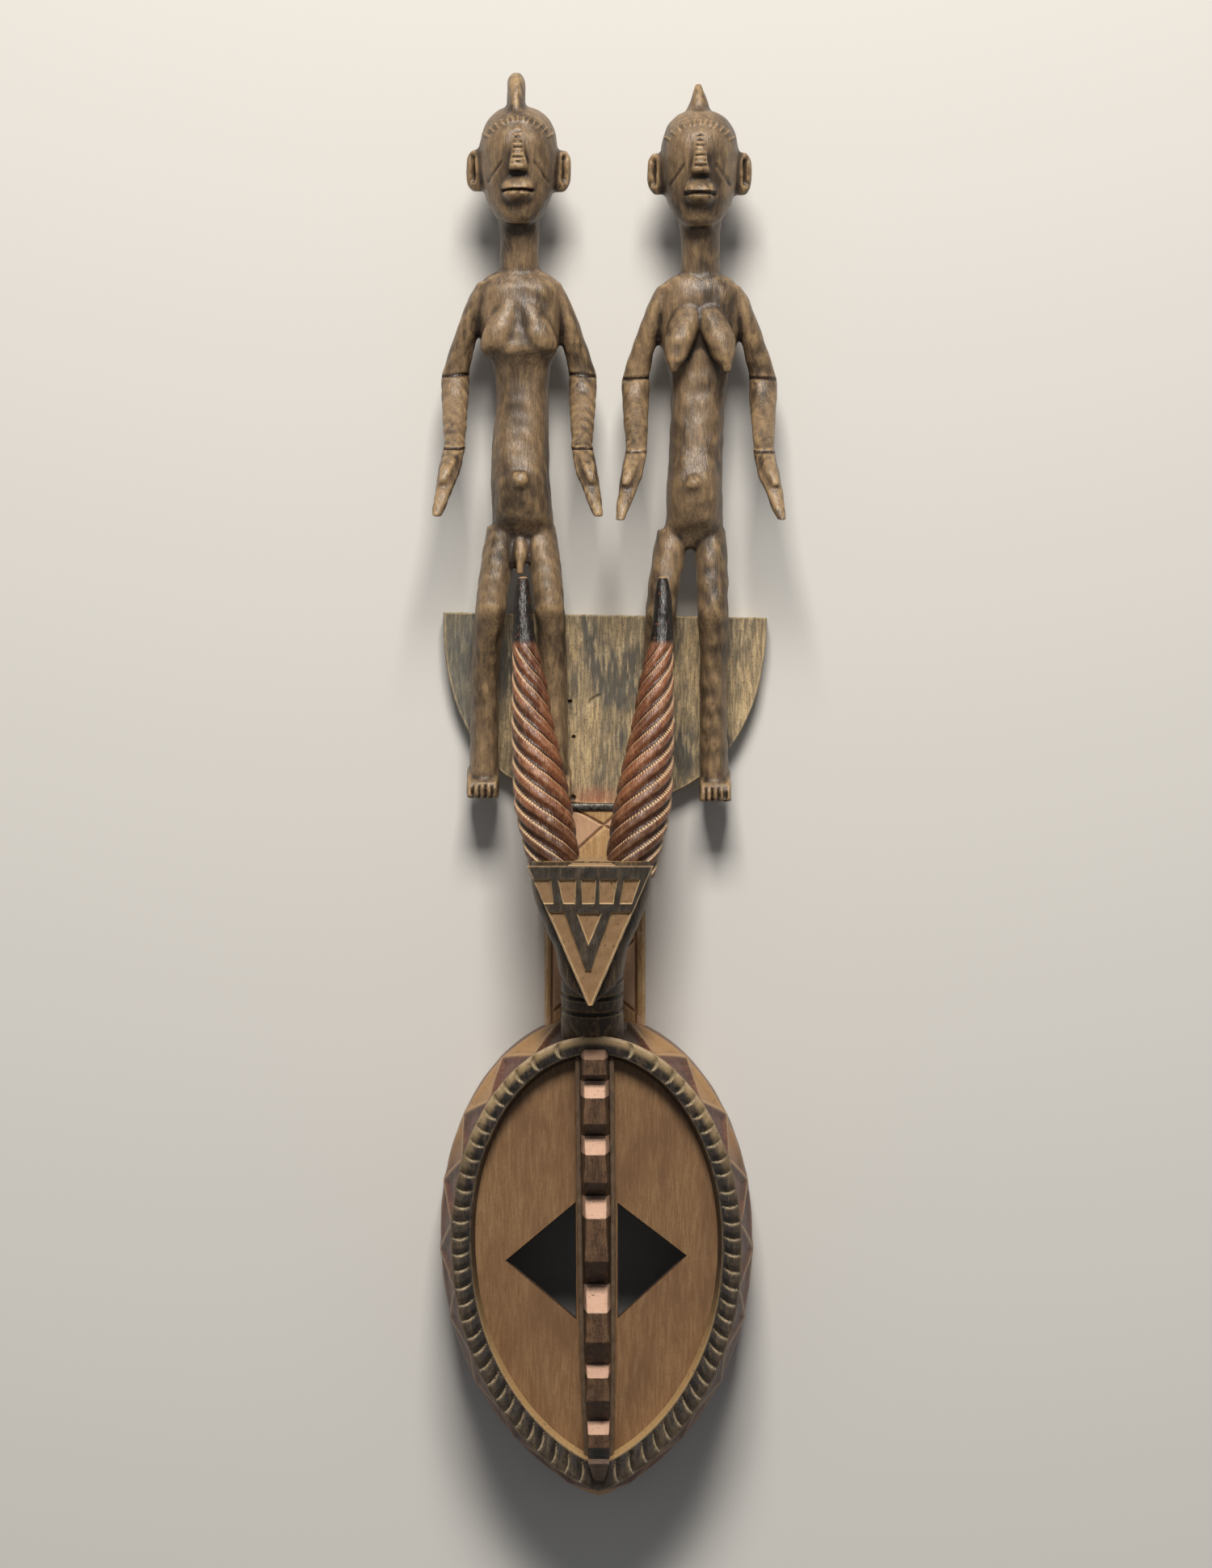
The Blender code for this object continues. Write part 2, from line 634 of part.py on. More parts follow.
def figure_form(name, stations, feet, lean=0, side=1, sides=LIMB_SIDES, power=2.2, splay=0):
    rings = []
    for up, across, out, half_width, half_depth in stations:
        x = feet[0] + (side * across + sway(up, lean) + spread(up, splay)) * GRID
        rings.append(section(x, feet[1] + up * GRID, out_to_z(out),
                             half_width * GRID, half_depth * GRID, sides, power))
    return loft(name, rings, GUIDES)


def make_foot(feet, lean, side):
    """A block foot whose toes are parted by short grooves."""
    rings = []
    x = feet[0] + (side * FOOT_SIDE + lean) * GRID
    steps = 2 * TOES
    for k in range(steps + 1):
        across = x + (k / steps * 2 - 1) * FOOT_HALF_WIDTH * GRID
        toe = FOOT_TOE_OUT - (TOE_GROOVE if k % 2 == 0 else 0)
        profile = ((0, FOOT_HEEL_OUT), (0, toe), (FOOT_HEIGHT * 0.75, toe - TOE_GROOVE / 2),
                   (FOOT_HEIGHT * 1.3, FOOT_HEEL_OUT * 2), (FOOT_HEIGHT, FOOT_HEEL_OUT))
        rings.append([Vector((across, feet[1] + up * GRID, out_to_z(out))) for up, out in profile])
    return loft("foot", rings, GUIDES)


def make_figure(feet, lean, is_man):
    trunk = MAN_TRUNK if is_man else WOMAN_TRUNK
    crest = MAN_CREST if is_man else WOMAN_CREST
    splays = MAN_SPLAY if is_man else WOMAN_SPLAY
    forms = [figure_form("trunk", trunk, feet, lean, sides=TRUNK_SIDES, power=2.5),
             figure_form("neck", NECK, feet, sides=12, power=2.0),
             figure_form("head", HEAD, feet, sides=TRUNK_SIDES, power=2.2),
             figure_form("crest", crest, feet),
             figure_form("nose", NOSE, feet, sides=8, power=3.0),
             figure_form("brow", BROW, feet, sides=8),
             figure_form("mouth", MOUTH, feet, sides=8)]
    for side, splay in zip((-1, 1), splays):
        forms.append(figure_form("ear", EAR, feet, side=side, sides=6))
        forms.append(figure_form("leg", THIGH, feet, lean, side, splay=splay))
        forms.append(figure_form("arm", ARM, feet, side=side))
        forms.append(figure_form("hand", HAND, feet, side=side, sides=8, power=3.0))
        forms.append(figure_form("thumb", THUMB, feet, side=side, sides=6, power=3.0))
        forms.append(make_foot(feet, lean + splay, side))
        if is_man:
            forms.append(figure_form("chest", PEC, feet, side=side, sides=8))
        else:
            forms.append(figure_form("breast", BREAST, feet, side=side, sides=8))
    if is_man:
        forms.append(figure_form("loins", LOINS, feet, lean, sides=8))
    return forms


# Assembly

def evaluated_bounds(items):
    graph = bpy.context.evaluated_depsgraph_get()
    low = Vector((math.inf,) * 3)
    high = Vector((-math.inf,) * 3)
    for item in items:
        ready = item.evaluated_get(graph)
        mesh = ready.to_mesh()
        for vertex in mesh.vertices:
            point = item.matrix_world @ vertex.co
            low = Vector(map(min, low, point))
            high = Vector(map(max, high, point))
        ready.to_mesh_clear()
    return low, high


clear_scene()
PARTS = new_collection("bamana_horned_mask")
GUIDES = new_collection("guides")
WOOD = new_material("carved_wood", (0.16, 0.10, 0.06), 0.62, 0.0)
METAL = new_material("dark_metal", (0.10, 0.10, 0.10), 0.45, 0.9)

carving = make_shell()
strap = make_strap()
carving.data.materials.append(WOOD)
strap.data.materials.append(METAL)

for form in (make_ridge(), make_rail(-1), make_rail(1)):
    join(carving, form)
for form in (make_plank(), make_plate(), make_neck(), make_head(), make_plaque()):
    join(carving, form)
for half in (-1, 1):
    join(carving, make_horn(half))
MAN_FEET = (MAN_X, plate_foot() + MAN_FEET_RISE)
WOMAN_FEET = (WOMAN_X, plate_foot() + WOMAN_FEET_RISE)
for form in make_figure(MAN_FEET, MAN_LEAN, True) + make_figure(WOMAN_FEET, WOMAN_LEAN, False):
    join(carving, form)
cut(carving, make_eyes())
cut(carving, make_hollow())
for cutter in (make_plaque_cells(), make_plank_grooves(), make_plank_diagonal("rising_line_cutter", True),
               make_plank_diagonal("falling_line_cutter", False)):
    cut(carving, cutter)

bpy.context.view_layer.update()
lowest, highest = evaluated_bounds([carving, strap])
middle_point = (lowest + highest) / 2
shift = Vector((-middle_point.x, -middle_point.y, -lowest.z))
for piece in list(PARTS.objects) + list(GUIDES.objects):
    piece.location += shift
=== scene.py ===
"""A Bamana horned mask, carved from one piece of wood, lying on its back under a soft light."""
import math

import bmesh
import bpy
import numpy as np
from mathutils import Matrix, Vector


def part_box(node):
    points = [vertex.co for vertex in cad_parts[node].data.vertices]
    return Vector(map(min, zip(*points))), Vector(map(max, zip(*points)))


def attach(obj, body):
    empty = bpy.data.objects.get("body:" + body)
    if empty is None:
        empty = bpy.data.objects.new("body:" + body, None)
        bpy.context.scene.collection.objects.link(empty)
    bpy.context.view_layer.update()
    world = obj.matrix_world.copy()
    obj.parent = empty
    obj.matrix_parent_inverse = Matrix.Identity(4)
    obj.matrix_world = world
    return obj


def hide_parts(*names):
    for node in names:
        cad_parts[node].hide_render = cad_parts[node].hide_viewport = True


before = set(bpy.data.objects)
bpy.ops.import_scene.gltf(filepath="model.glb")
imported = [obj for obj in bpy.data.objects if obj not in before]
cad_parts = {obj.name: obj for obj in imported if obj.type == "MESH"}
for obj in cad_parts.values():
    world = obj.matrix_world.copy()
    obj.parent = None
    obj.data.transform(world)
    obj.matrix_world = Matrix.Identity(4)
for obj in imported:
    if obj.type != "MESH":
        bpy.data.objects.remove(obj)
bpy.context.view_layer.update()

# Face mask: the lower half of the one carving, an almond shell hewn out from behind, with a rim
# notched by a gouge and a flaring wall of sunk triangles painted ochre and red-brown. Places are in
# metres from the middle of the picture, and the strap's known place gives the step to the part.
strap_low, strap_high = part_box("cross_strap")
PLANK_X = -0.0089
STRAP_Y = -0.0185
STEP = np.array(((strap_low[0] + strap_high[0]) / 2 - PLANK_X,
                 (strap_low[1] + strap_high[1]) / 2 - STRAP_Y, 0.0))
MASK_X = -0.0075
MASK_LEAN = 0.011
MASK_TOP = -0.187
MASK_CHIN = -0.576
MASK_HALF = 0.127
WIDEST_SHARE = 0.55
EYE_Y = -0.3805
FLARE_Z = 0.055
RIM_Z = 0.115
RIM_INNER_Z = 0.113
PANEL_Z = 0.098
HOLLOW_Z = 0.062
HOLLOW_INSET = 0.0140
HOLLOW_EDGE = 0.0015
FLOOR_Z = 0.084
FLOOR_INSET = 0.020
WALL_SIZE = 0.061
COLUMNS = 1080
SLOPE_SHARES = (0.0, 0.04, 0.35, 0.7, 0.93)
RIM_ROWS = 24
WALL_ROWS = 27
FOOT_ROWS = 9
ZIGZAGS = 9
NOTCHES = 31
FIRST_NOTCH = 0.0285
NOTCH_GAPS = (0.0215, 0.0160)
LAST_NOTCH = 0.016
NOTCH_DEPTH = 0.0032
NOTCH_BELLY = 0.0024
NOTCH_MIDDLE = 0.52
NOTCH_REACH = 0.42
NOTCH_RISE = 0.0060
NOTCH_FALL = 0.0009
NOTCH_DARK = 0.0045
LIP_WIDTH = 0.0011
TRIANGLE_DEPTH = 0.0030
EYE_CORNERS = (((-0.0246, -0.3361), (-0.0242, -0.4281), (-0.0797, -0.3821)),
               ((0.0097, -0.3367), (0.0097, -0.4274), (0.0641, -0.3782)))


def rgb(red, green, blue):
    """A colour as seen on a screen, turned into the shader's linear numbers."""
    return tuple((part / 255) ** 2.2 for part in (red, green, blue)) + (1.0,)


def add_node(material, kind, **inputs):
    """Add a shader node, with each input set to a number or linked to another node."""
    made = material.node_tree.nodes.new("ShaderNode" + kind)
    for name, value in inputs.items():
        socket = made.inputs[name.replace("_", " ")]
        if isinstance(value, bpy.types.NodeSocket):
            material.node_tree.links.new(value, socket)
        else:
            socket.default_value = value
    return made


def share_of(material, value, low, high):
    return add_node(material, "MapRange", Value=value, From_Min=low, From_Max=high).outputs[0]


def spots(material, size, low, high, stretch=1.0, place=0.0):
    """Cloudy spots of a size in metres, drawn out along the grain by the stretch."""
    where = add_node(material, "TexCoord").outputs["Object"]
    where = add_node(material, "Mapping", Vector=where, Location=(place, place, place),
                     Scale=(1.0, 1.0 / stretch, 1.0)).outputs[0]
    noise = add_node(material, "TexNoise", Vector=where, Scale=1.0 / size, Detail=4.0).outputs[0]
    return share_of(material, noise, low, high)


def mark(material, name, low=0.0, high=1.0):
    """A value stored on the mesh, as a share of the way between two levels."""
    made = add_node(material, "Attribute")
    made.attribute_name = name
    return share_of(material, made.outputs["Fac"], low, high)


def times(material, first, second):
    made = add_node(material, "Math")
    made.operation = "MULTIPLY"
    for socket, value in zip(made.inputs, (first, second)):
        if isinstance(value, bpy.types.NodeSocket):
            material.node_tree.links.new(value, socket)
        else:
            socket.default_value = value
    return made.outputs[0]


def over(material, under, colour, share):
    return add_node(material, "MixRGB", Fac=share, Color1=under, Color2=colour).outputs[0]


def patina(name, ground, dark, pale, clouds=0.6, grain=0.4, streaks=0.3, specks=0.3, edge_wear_and_highlight=0.6,
           soot=0.8, marks=(), roughness=0.5, relief=0.35):
    """Old wood: clouds, grain lines, pale streaks, specks, painted marks, pale edges, dark hollows."""
    material = bpy.data.materials.new(name)
    material.use_nodes = True
    shader = material.node_tree.nodes["Principled BSDF"]
    lines = spots(material, 0.0013, 0.42, 0.62, 14.0)
    streak = spots(material, 0.0036, 0.50, 0.68, 7.0, 3.1)
    speck = spots(material, 0.0018, 0.52, 0.64, 1.3, 9.7)
    colour = over(material, ground, dark, times(material, spots(material, 0.026, 0.42, 0.62, 2.4), clouds))
    colour = over(material, colour, dark, times(material, lines, grain))
    colour = over(material, colour, pale, times(material, streak, streaks))
    colour = over(material, colour, dark, times(material, speck, specks))
    for attribute, paint, strength in marks:
        patchy = spots(material, 0.0022, 0.24, 0.40, 1.6, 1.7)
        shown = times(material, times(material, mark(material, attribute), patchy), strength)
        colour = over(material, colour, paint, shown)
    # Proud edges turn pale, partly rub wear and partly painted highlight, and hollows turn dark, partly dark
    # patina and partly painted shade.
    pale_edge_share = times(material, mark(material, "proudness", 0.56, 0.80),
                   spots(material, 0.0040, 0.32, 0.56, 2.0, 5.3))
    colour = over(material, colour, pale, times(material, pale_edge_share, edge_wear_and_highlight))
    colour = over(material, colour, dark, times(material, mark(material, "proudness", 0.45, 0.20), soot))
    material.node_tree.links.new(colour, shader.inputs["Base Color"])
    bump = add_node(material, "Bump", Strength=relief, Distance=0.0006, Height=lines)
    material.node_tree.links.new(bump.outputs[0], shader.inputs["Normal"])
    shader.inputs["Roughness"].default_value = roughness
    return material


def loft(rings):
    """Points and faces of one closed skin over rings of equal count, with flat ends."""
    rows, columns = rings.shape[:2]
    index = np.arange(rows * columns).reshape(rows, columns)
    beside = np.roll(index, -1, 1)
    quads = np.stack((index[:-1], beside[:-1], beside[1:], index[1:]), -1).reshape(-1, 4).tolist()
    return rings.reshape(-1, 3), quads + [index[0, ::-1].tolist(), index[-1].tolist()]


def new_piece(name, forms, materials):
    """One mesh object from closed forms, each a pair of points and faces, facing outwards."""
    points = np.concatenate([form[0] for form in forms])
    faces = []
    start = 0
    for form_points, form_faces in forms:
        faces += [[corner + start for corner in face] for face in form_faces]
        start += len(form_points)
    mesh = bpy.data.meshes.new(name)
    mesh.from_pydata((points + STEP).tolist(), [], faces)
    shape = bmesh.new()
    shape.from_mesh(mesh)
    bmesh.ops.recalc_face_normals(shape, faces=shape.faces)
    shape.to_mesh(mesh)
    shape.free()
    for material in materials:
        mesh.materials.append(material)
    item = bpy.data.objects.new(name, mesh)
    bpy.context.scene.collection.objects.link(item)
    return item


def read_points(item, kind="co"):
    values = np.empty(len(item.data.vertices) * 3)
    if kind == "co":
        item.data.vertices.foreach_get("co", values)
    else:
        item.data.vertex_normals.foreach_get("vector", values)
    return values.reshape(-1, 3)


def write_points(item, points):
    item.data.vertices.foreach_set("co", points.ravel())
    item.data.update()


def add_mark(item, name, values):
    stored = item.data.attributes.new(name, "FLOAT", "POINT")
    stored.data.foreach_set("value", np.asarray(values, dtype=np.float32).ravel())


def relaxed(item, points, rounds):
    """The points after some rounds of moving halfway towards the mean of their neighbours."""
    pairs = np.empty(len(item.data.edges) * 2, dtype=np.int64)
    item.data.edges.foreach_get("vertices", pairs)
    pairs = pairs.reshape(-1, 2)
    ends = np.concatenate((pairs[:, 0], pairs[:, 1]))
    others = np.concatenate((pairs[:, 1], pairs[:, 0]))
    count = len(points)
    degree = np.maximum(np.bincount(ends, minlength=count), 1)[:, None]
    for _ in range(rounds):
        total = np.stack([np.bincount(ends, points[others, k], count) for k in range(3)], 1)
        points = (points + total / degree) / 2
    return points


def mark_proudness(item, reach, rounds=10):
    """Store how far each point stands proud: above 0.5 on an edge, below it in a hollow."""
    points = read_points(item)
    proud = ((points - relaxed(item, points, rounds)) * read_points(item, "normal")).sum(1)
    add_mark(item, "proudness", np.clip(0.5 + proud / reach / 2, 0, 1))


def roughen(item, size, amount, seed):
    """Cut the skin back by gentle seeded waves, as a hand tool leaves it, but not the flat back."""
    points = read_points(item)
    draw = np.random.default_rng(seed)
    waves = np.zeros(len(points))
    for _ in range(8):
        heading = draw.normal(size=3)
        heading /= np.linalg.norm(heading)
        length = size * draw.uniform(0.6, 1.5)
        waves += np.sin(points @ heading * 2 * math.pi / length + draw.uniform(0, 6.28))
    depth = (1 - waves / 4) * amount / 2
    depth = np.clip(depth, 0, None) * (points[:, 2] > 0.0005)
    write_points(item, points - read_points(item, "normal") * depth[:, None])


def soften(item, degrees):
    item.data.shade_smooth()
    item.data.set_sharp_from_angle(angle=math.radians(degrees))


def smoothstep(value):
    value = np.clip(value, 0, 1)
    return value * value * (3 - 2 * value)


def almond(half, top, chin):
    """Points in even steps round an outline with an elliptical forehead and a pointed chin."""
    angle = np.linspace(0, math.pi, 801)
    widest = chin + (top - chin) * WIDEST_SHARE
    drop = np.sin(np.clip(angle - math.pi / 2, 0, None))
    upper = angle <= math.pi / 2
    x = half * np.where(upper, np.sin(angle), np.clip(1 - drop ** 2.2, 0, None) ** 0.72)
    y = np.where(upper, widest + (top - widest) * np.cos(angle), widest - (widest - chin) * drop)
    reach = np.concatenate(([0], np.cumsum(np.hypot(np.diff(x), np.diff(y)))))
    even = np.linspace(0, reach[-1], COLUMNS // 2 + 1)
    right = np.stack((np.interp(even, reach, x), np.interp(even, reach, y)), 1)
    outline = np.concatenate((right, right[-2:0:-1] * (-1, 1)))
    outline[:, 0] += MASK_X - MASK_LEAN * (outline[:, 1] - EYE_Y)
    return outline


def hollow_outline(inset):
    return almond(MASK_HALF - inset, MASK_TOP - inset, MASK_CHIN + inset * 1.5)


mask_rows = []
mask_marks = {name: [] for name in ("lip", "notch", "slope", "light_band", "ochre", "relief_line",
                                    "sooty")}


def add_row(outline, z, **marks):
    mask_rows.append(np.column_stack((outline, np.broadcast_to(z, COLUMNS))))
    for name, store in mask_marks.items():
        store.append(np.broadcast_to(marks.get(name, 0.0), COLUMNS))


panel_edge = almond(0.0970, -0.2190, -0.5390)
inner_edge = almond(0.1000, -0.2160, -0.5420)
rim_edge = almond(0.1165, -0.2010, -0.5650)
widest_edge = almond(MASK_HALF, MASK_TOP, MASK_CHIN)
tangent = np.roll(widest_edge, -1, 0) - np.roll(widest_edge, 1, 0)
outward = np.stack((-tangent[:, 1], tangent[:, 0]), 1)
outward /= np.hypot(tangent[:, 0], tangent[:, 1])[:, None]
column = np.arange(COLUMNS)
descent = np.minimum(column, COLUMNS - column) / (COLUMNS / 2)
middle_line = (rim_edge + inner_edge) / 2
half_round = np.hypot(*np.diff(middle_line[:COLUMNS // 2 + 1], axis=0).T).sum()
notch_random = np.random.default_rng(11)
notch_places = []
for _ in range(2):
    places = np.cumsum((FIRST_NOTCH,) + NOTCH_GAPS)
    pitch = (half_round - LAST_NOTCH - places[-1]) / (NOTCHES - 3)
    places = np.concatenate((places, places[-1] + pitch * np.arange(1, NOTCHES - 2)))
    notch_places.append(places + notch_random.normal(0, 0.0005, NOTCHES))
notch_deep = notch_random.uniform(0.75, 1.0, (2, NOTCHES)) * NOTCH_DEPTH

# The inner slope is painted pale tan only on the lower half of the face, where it faces the lamp: a painted
# highlight.
low_down = smoothstep((descent - 0.50) / 0.25)
for share in SLOPE_SHARES:
    add_row(panel_edge + (inner_edge - panel_edge) * share,
            PANEL_Z + (RIM_INNER_Z - PANEL_Z) * share ** 0.8, slope=low_down)
# Along each notch's long sunk side the rim is painted near black: painted shade inside the notch.
for share in np.linspace(0.02, 0.98, RIM_ROWS):
    sunk = np.zeros(COLUMNS)
    lip = np.zeros(COLUMNS)
    dark = np.zeros(COLUMNS)
    across = (share - NOTCH_MIDDLE) / NOTCH_REACH
    for side in range(2):
        mine = (column <= COLUMNS / 2) == (side == 0)
        for place, deep in zip(notch_places[side], notch_deep[side]):
            if abs(across) >= 1:
                continue
            beyond = descent * half_round - place - NOTCH_BELLY * (1 - across ** 2)
            shape = np.where(beyond < 0, np.clip(1 + beyond / NOTCH_RISE, 0, 1),
                             np.clip(1 - beyond / NOTCH_FALL, 0, 1))
            fade = (1 - across ** 4) * mine
            sunk = np.maximum(sunk, shape * fade * deep)
            dark = np.maximum(dark, shape * fade * (beyond < 0) * np.clip(1 + beyond / NOTCH_DARK, 0, 1))
            thinner = 1 - 0.55 * smoothstep(place / half_round / 0.4)
            width = LIP_WIDTH * (1 - across ** 2) * thinner + 0.0001
            lip = np.maximum(lip, np.clip(1.4 - np.abs(beyond + 0.0002) / width, 0, 1) * fade)
    height = RIM_INNER_Z + (RIM_Z - RIM_INNER_Z) * math.sin(share * math.pi * 0.6)
    height -= 0.001 * smoothstep((share - 0.8) * 5)
    worn_pale = smoothstep((share - 0.40) / 0.35) * (1 - 0.92 * smoothstep((descent - 0.20) / 0.22))
    add_row(rim_edge * share + inner_edge * (1 - share), height - sunk, lip=lip, notch=dark,
            light_band=worn_pale, slope=low_down * smoothstep(1 - share / 0.12))
painted = np.maximum(1 - smoothstep((descent - 0.26) / 0.16), smoothstep((descent - 0.90) / 0.05))
# Near the top of the mask the wall is painted near black, partly soot and partly painted shadow of the neck
# and head.
sooty = 1 - smoothstep((descent - 0.055) / 0.06)
triangle = 1 - np.abs(2 * (descent * ZIGZAGS % 1) - 1)
for share in np.linspace(0.02, 1, WALL_ROWS):
    off_line = (share - triangle) * WALL_SIZE * 0.42
    sunk = TRIANGLE_DEPTH * smoothstep(np.abs(off_line) / 0.008) * smoothstep(share / 0.1)
    sunk = sunk * (1 - 0.7 * smoothstep((share - 0.75) / 0.25))
    outline = rim_edge + (widest_edge - rim_edge) * share - outward * sunk[:, None]
    ridged = (1 - smoothstep(np.abs(off_line) / 0.0022)) * smoothstep(share / 0.1) * (1 - 0.5 * low_down)
    add_row(outline, RIM_Z - 0.001 + (FLARE_Z - RIM_Z + 0.001) * share,
            ochre=np.clip(off_line / 0.0015, 0, 1) * painted, sooty=sooty, relief_line=ridged)
for share in np.linspace(0.9, 0.06, FOOT_ROWS):
    add_row(widest_edge - outward * (sunk * share)[:, None], FLARE_Z * share, ochre=0.4 * share * painted)
add_row(widest_edge - outward * 0.0005, 0.0015)
add_row(widest_edge - outward * 0.0025, 0.0)
add_row(hollow_outline(0.0125), 0.0)
for share in np.linspace(0, 1, 9):
    add_row(hollow_outline(HOLLOW_INSET), HOLLOW_EDGE + (HOLLOW_Z - HOLLOW_EDGE) * share)
for share in np.linspace(0.15, 1, 6):
    add_row(hollow_outline(HOLLOW_INSET + FLOOR_INSET * share), HOLLOW_Z + (FLOOR_Z - HOLLOW_Z) * share)

panel_wood = patina("panel_wood", rgb(170, 134, 94), rgb(112, 82, 56), rgb(202, 168, 124),
                    clouds=0.75, grain=0.6, streaks=0.35, specks=0.35, soot=0.6, roughness=0.5)
# The rim's thin pale lip line at the foot of each notch's steep wall is a painted highlight where the lamp
# strikes that wall.
rim_wood = patina("rim_wood", rgb(58, 52, 48), rgb(24, 22, 22), rgb(150, 126, 94),
                  clouds=0.4, grain=0.3, streaks=0.2, specks=0.7, edge_wear_and_highlight=0.3, soot=0.5,
                  marks=(("light_band", rgb(176, 150, 112), 0.85), ("slope", rgb(198, 162, 112), 0.9),
                         ("notch", rgb(20, 18, 18), 0.9), ("lip", rgb(236, 212, 172), 1.0)))
wall_wood = patina("wall_wood", rgb(104, 56, 38), rgb(50, 29, 22), rgb(176, 136, 90),
                   clouds=0.7, grain=0.5, streaks=0.2, specks=0.3, edge_wear_and_highlight=0.5, soot=0.5,
                   marks=(("ochre", rgb(172, 130, 80), 0.92), ("relief_line", rgb(196, 158, 108), 0.75),
                          ("sooty", rgb(38, 28, 22), 0.95)), roughness=0.42)
raw_wood = patina("raw_wood", rgb(118, 88, 60), rgb(60, 44, 32), rgb(150, 116, 82),
                  clouds=0.5, grain=0.6, streaks=0.4, edge_wear_and_highlight=0.3, roughness=0.75, relief=0.7)
mask_woods = (panel_wood, rim_wood, wall_wood, raw_wood)
mask_shell = new_piece("mask_shell", [loft(np.array(mask_rows))], mask_woods)
rim_bands = len(SLOPE_SHARES) + RIM_ROWS
wall_bands = WALL_ROWS + FOOT_ROWS
row_bands = np.array([1] * rim_bands + [2] * wall_bands + [3] * (len(mask_rows) - 1 - rim_bands - wall_bands))
face_woods = np.concatenate((np.repeat(row_bands, COLUMNS), (0, 3)))
mask_shell.data.polygons.foreach_set("material_index", face_woods)
roughen(mask_shell, 0.030, 0.0004, 3)
for mark_name, values in mask_marks.items():
    add_mark(mask_shell, mark_name, values)
mark_proudness(mask_shell, 0.0011, 12)


def carve(item, cutter):
    """Cut one closed mesh out of another for good."""
    cutting = item.modifiers.new("cut", "BOOLEAN")
    cutting.solver = "MANIFOLD"
    cutting.object = cutter
    graph = bpy.context.evaluated_depsgraph_get()
    item.data = bpy.data.meshes.new_from_object(item.evaluated_get(graph))
    item.modifiers.clear()
    bpy.data.objects.remove(cutter)


eye_forms = []
for corners in EYE_CORNERS:
    centre = np.mean(corners, 0)
    rings = []
    for z, grow in ((0.06, 1.0), (PANEL_Z - 0.0012, 1.0), (PANEL_Z + 0.0008, 1.05), (0.12, 1.05)):
        outline = centre + (np.array(corners) - centre) * grow
        rings.append(np.column_stack((outline, (z, z, z))))
    eye_forms.append(loft(np.array(rings)))
eye_cutter = new_piece("eye_cutter", eye_forms, mask_woods)
eye_cutter.data.polygons.foreach_set("material_index", [3] * len(eye_cutter.data.polygons))
carve(mask_shell, eye_cutter)
soften(mask_shell, 34)
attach(mask_shell, "root")
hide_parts("wood_carving")

# Nose ridge: a bar left standing down the middle of the face, notched into eight blocks, between
# two thin rails. Each notch has a short undercut side and a long facet that faces the forehead,
# which keeps a rose-tan paint. The blocks' faces are dark and worn.
RIDGE_Z = 0.150
RIDGE_LOW = 0.090
BLOCKS = ((-0.2185, 0.0125), (-0.2490, 0.0215), (-0.2940, 0.0230), (-0.3445, 0.0355),
          (-0.4195, 0.0240), (-0.4710, 0.0190), (-0.5160, 0.0110), (-0.5410, 0.0200))
BLOCK_SLOPE = 0.12
LAST_BLOCK_DROP = 0.014
GAP_SLOPE = 0.85
DEEPEST_GAP = 0.036
DARK_SHARES = (0.30, 0.42, 0.42, 0.50, 0.72, 0.68, 0.70)
RIDGE_TOP = -0.2119
RIDGE_STEP = 0.0011
RAIL = ((-0.0022, 0.0920), (-0.0022, 0.1070), (-0.0014, 0.1079), (0.0014, 0.1079), (0.0022, 0.1070),
        (0.0022, 0.0920))
RAIL_TOP = -0.2105
RAIL_FOOT = -0.5560


def mask_x(y):
    return MASK_X - MASK_LEAN * (y - EYE_Y)


def ridge_base(y):
    share = np.clip((RIDGE_TOP - y) / (RIDGE_TOP - MASK_CHIN), 0, 1)
    return 0.0135 - 0.0050 * share ** 3


ridge_stretches = [((RIDGE_TOP, RIM_Z, 0.0080), (BLOCKS[0][0], RIDGE_Z, 0.0085), 0.3)]
for number, (upper, length) in enumerate(BLOCKS):
    lower = upper - length
    if number < len(BLOCKS) - 1:
        face_end = (lower, RIDGE_Z - length * BLOCK_SLOPE, 0.0098)
        ridge_stretches.append(((upper, RIDGE_Z, 0.0082), face_end, 0.0))
        following = BLOCKS[number + 1][0]
        gap = lower - following
        bottom = (lower - gap * DARK_SHARES[number], RIDGE_Z - min(gap * GAP_SLOPE, DEEPEST_GAP), 0.0090)
        following_z = RIDGE_Z if number < len(BLOCKS) - 2 else RIDGE_Z - LAST_BLOCK_DROP
        ridge_stretches.append((face_end, bottom, -1.0))
        ridge_stretches.append((bottom, (following, following_z, 0.0085), 1.0))
    else:
        chin_end = (lower, RIM_Z - 0.004, 0.0030)
        ridge_stretches.append(((upper, RIDGE_Z - LAST_BLOCK_DROP, 0.0085), chin_end, 0.0))
ridge_rings = []
ridge_facets = []
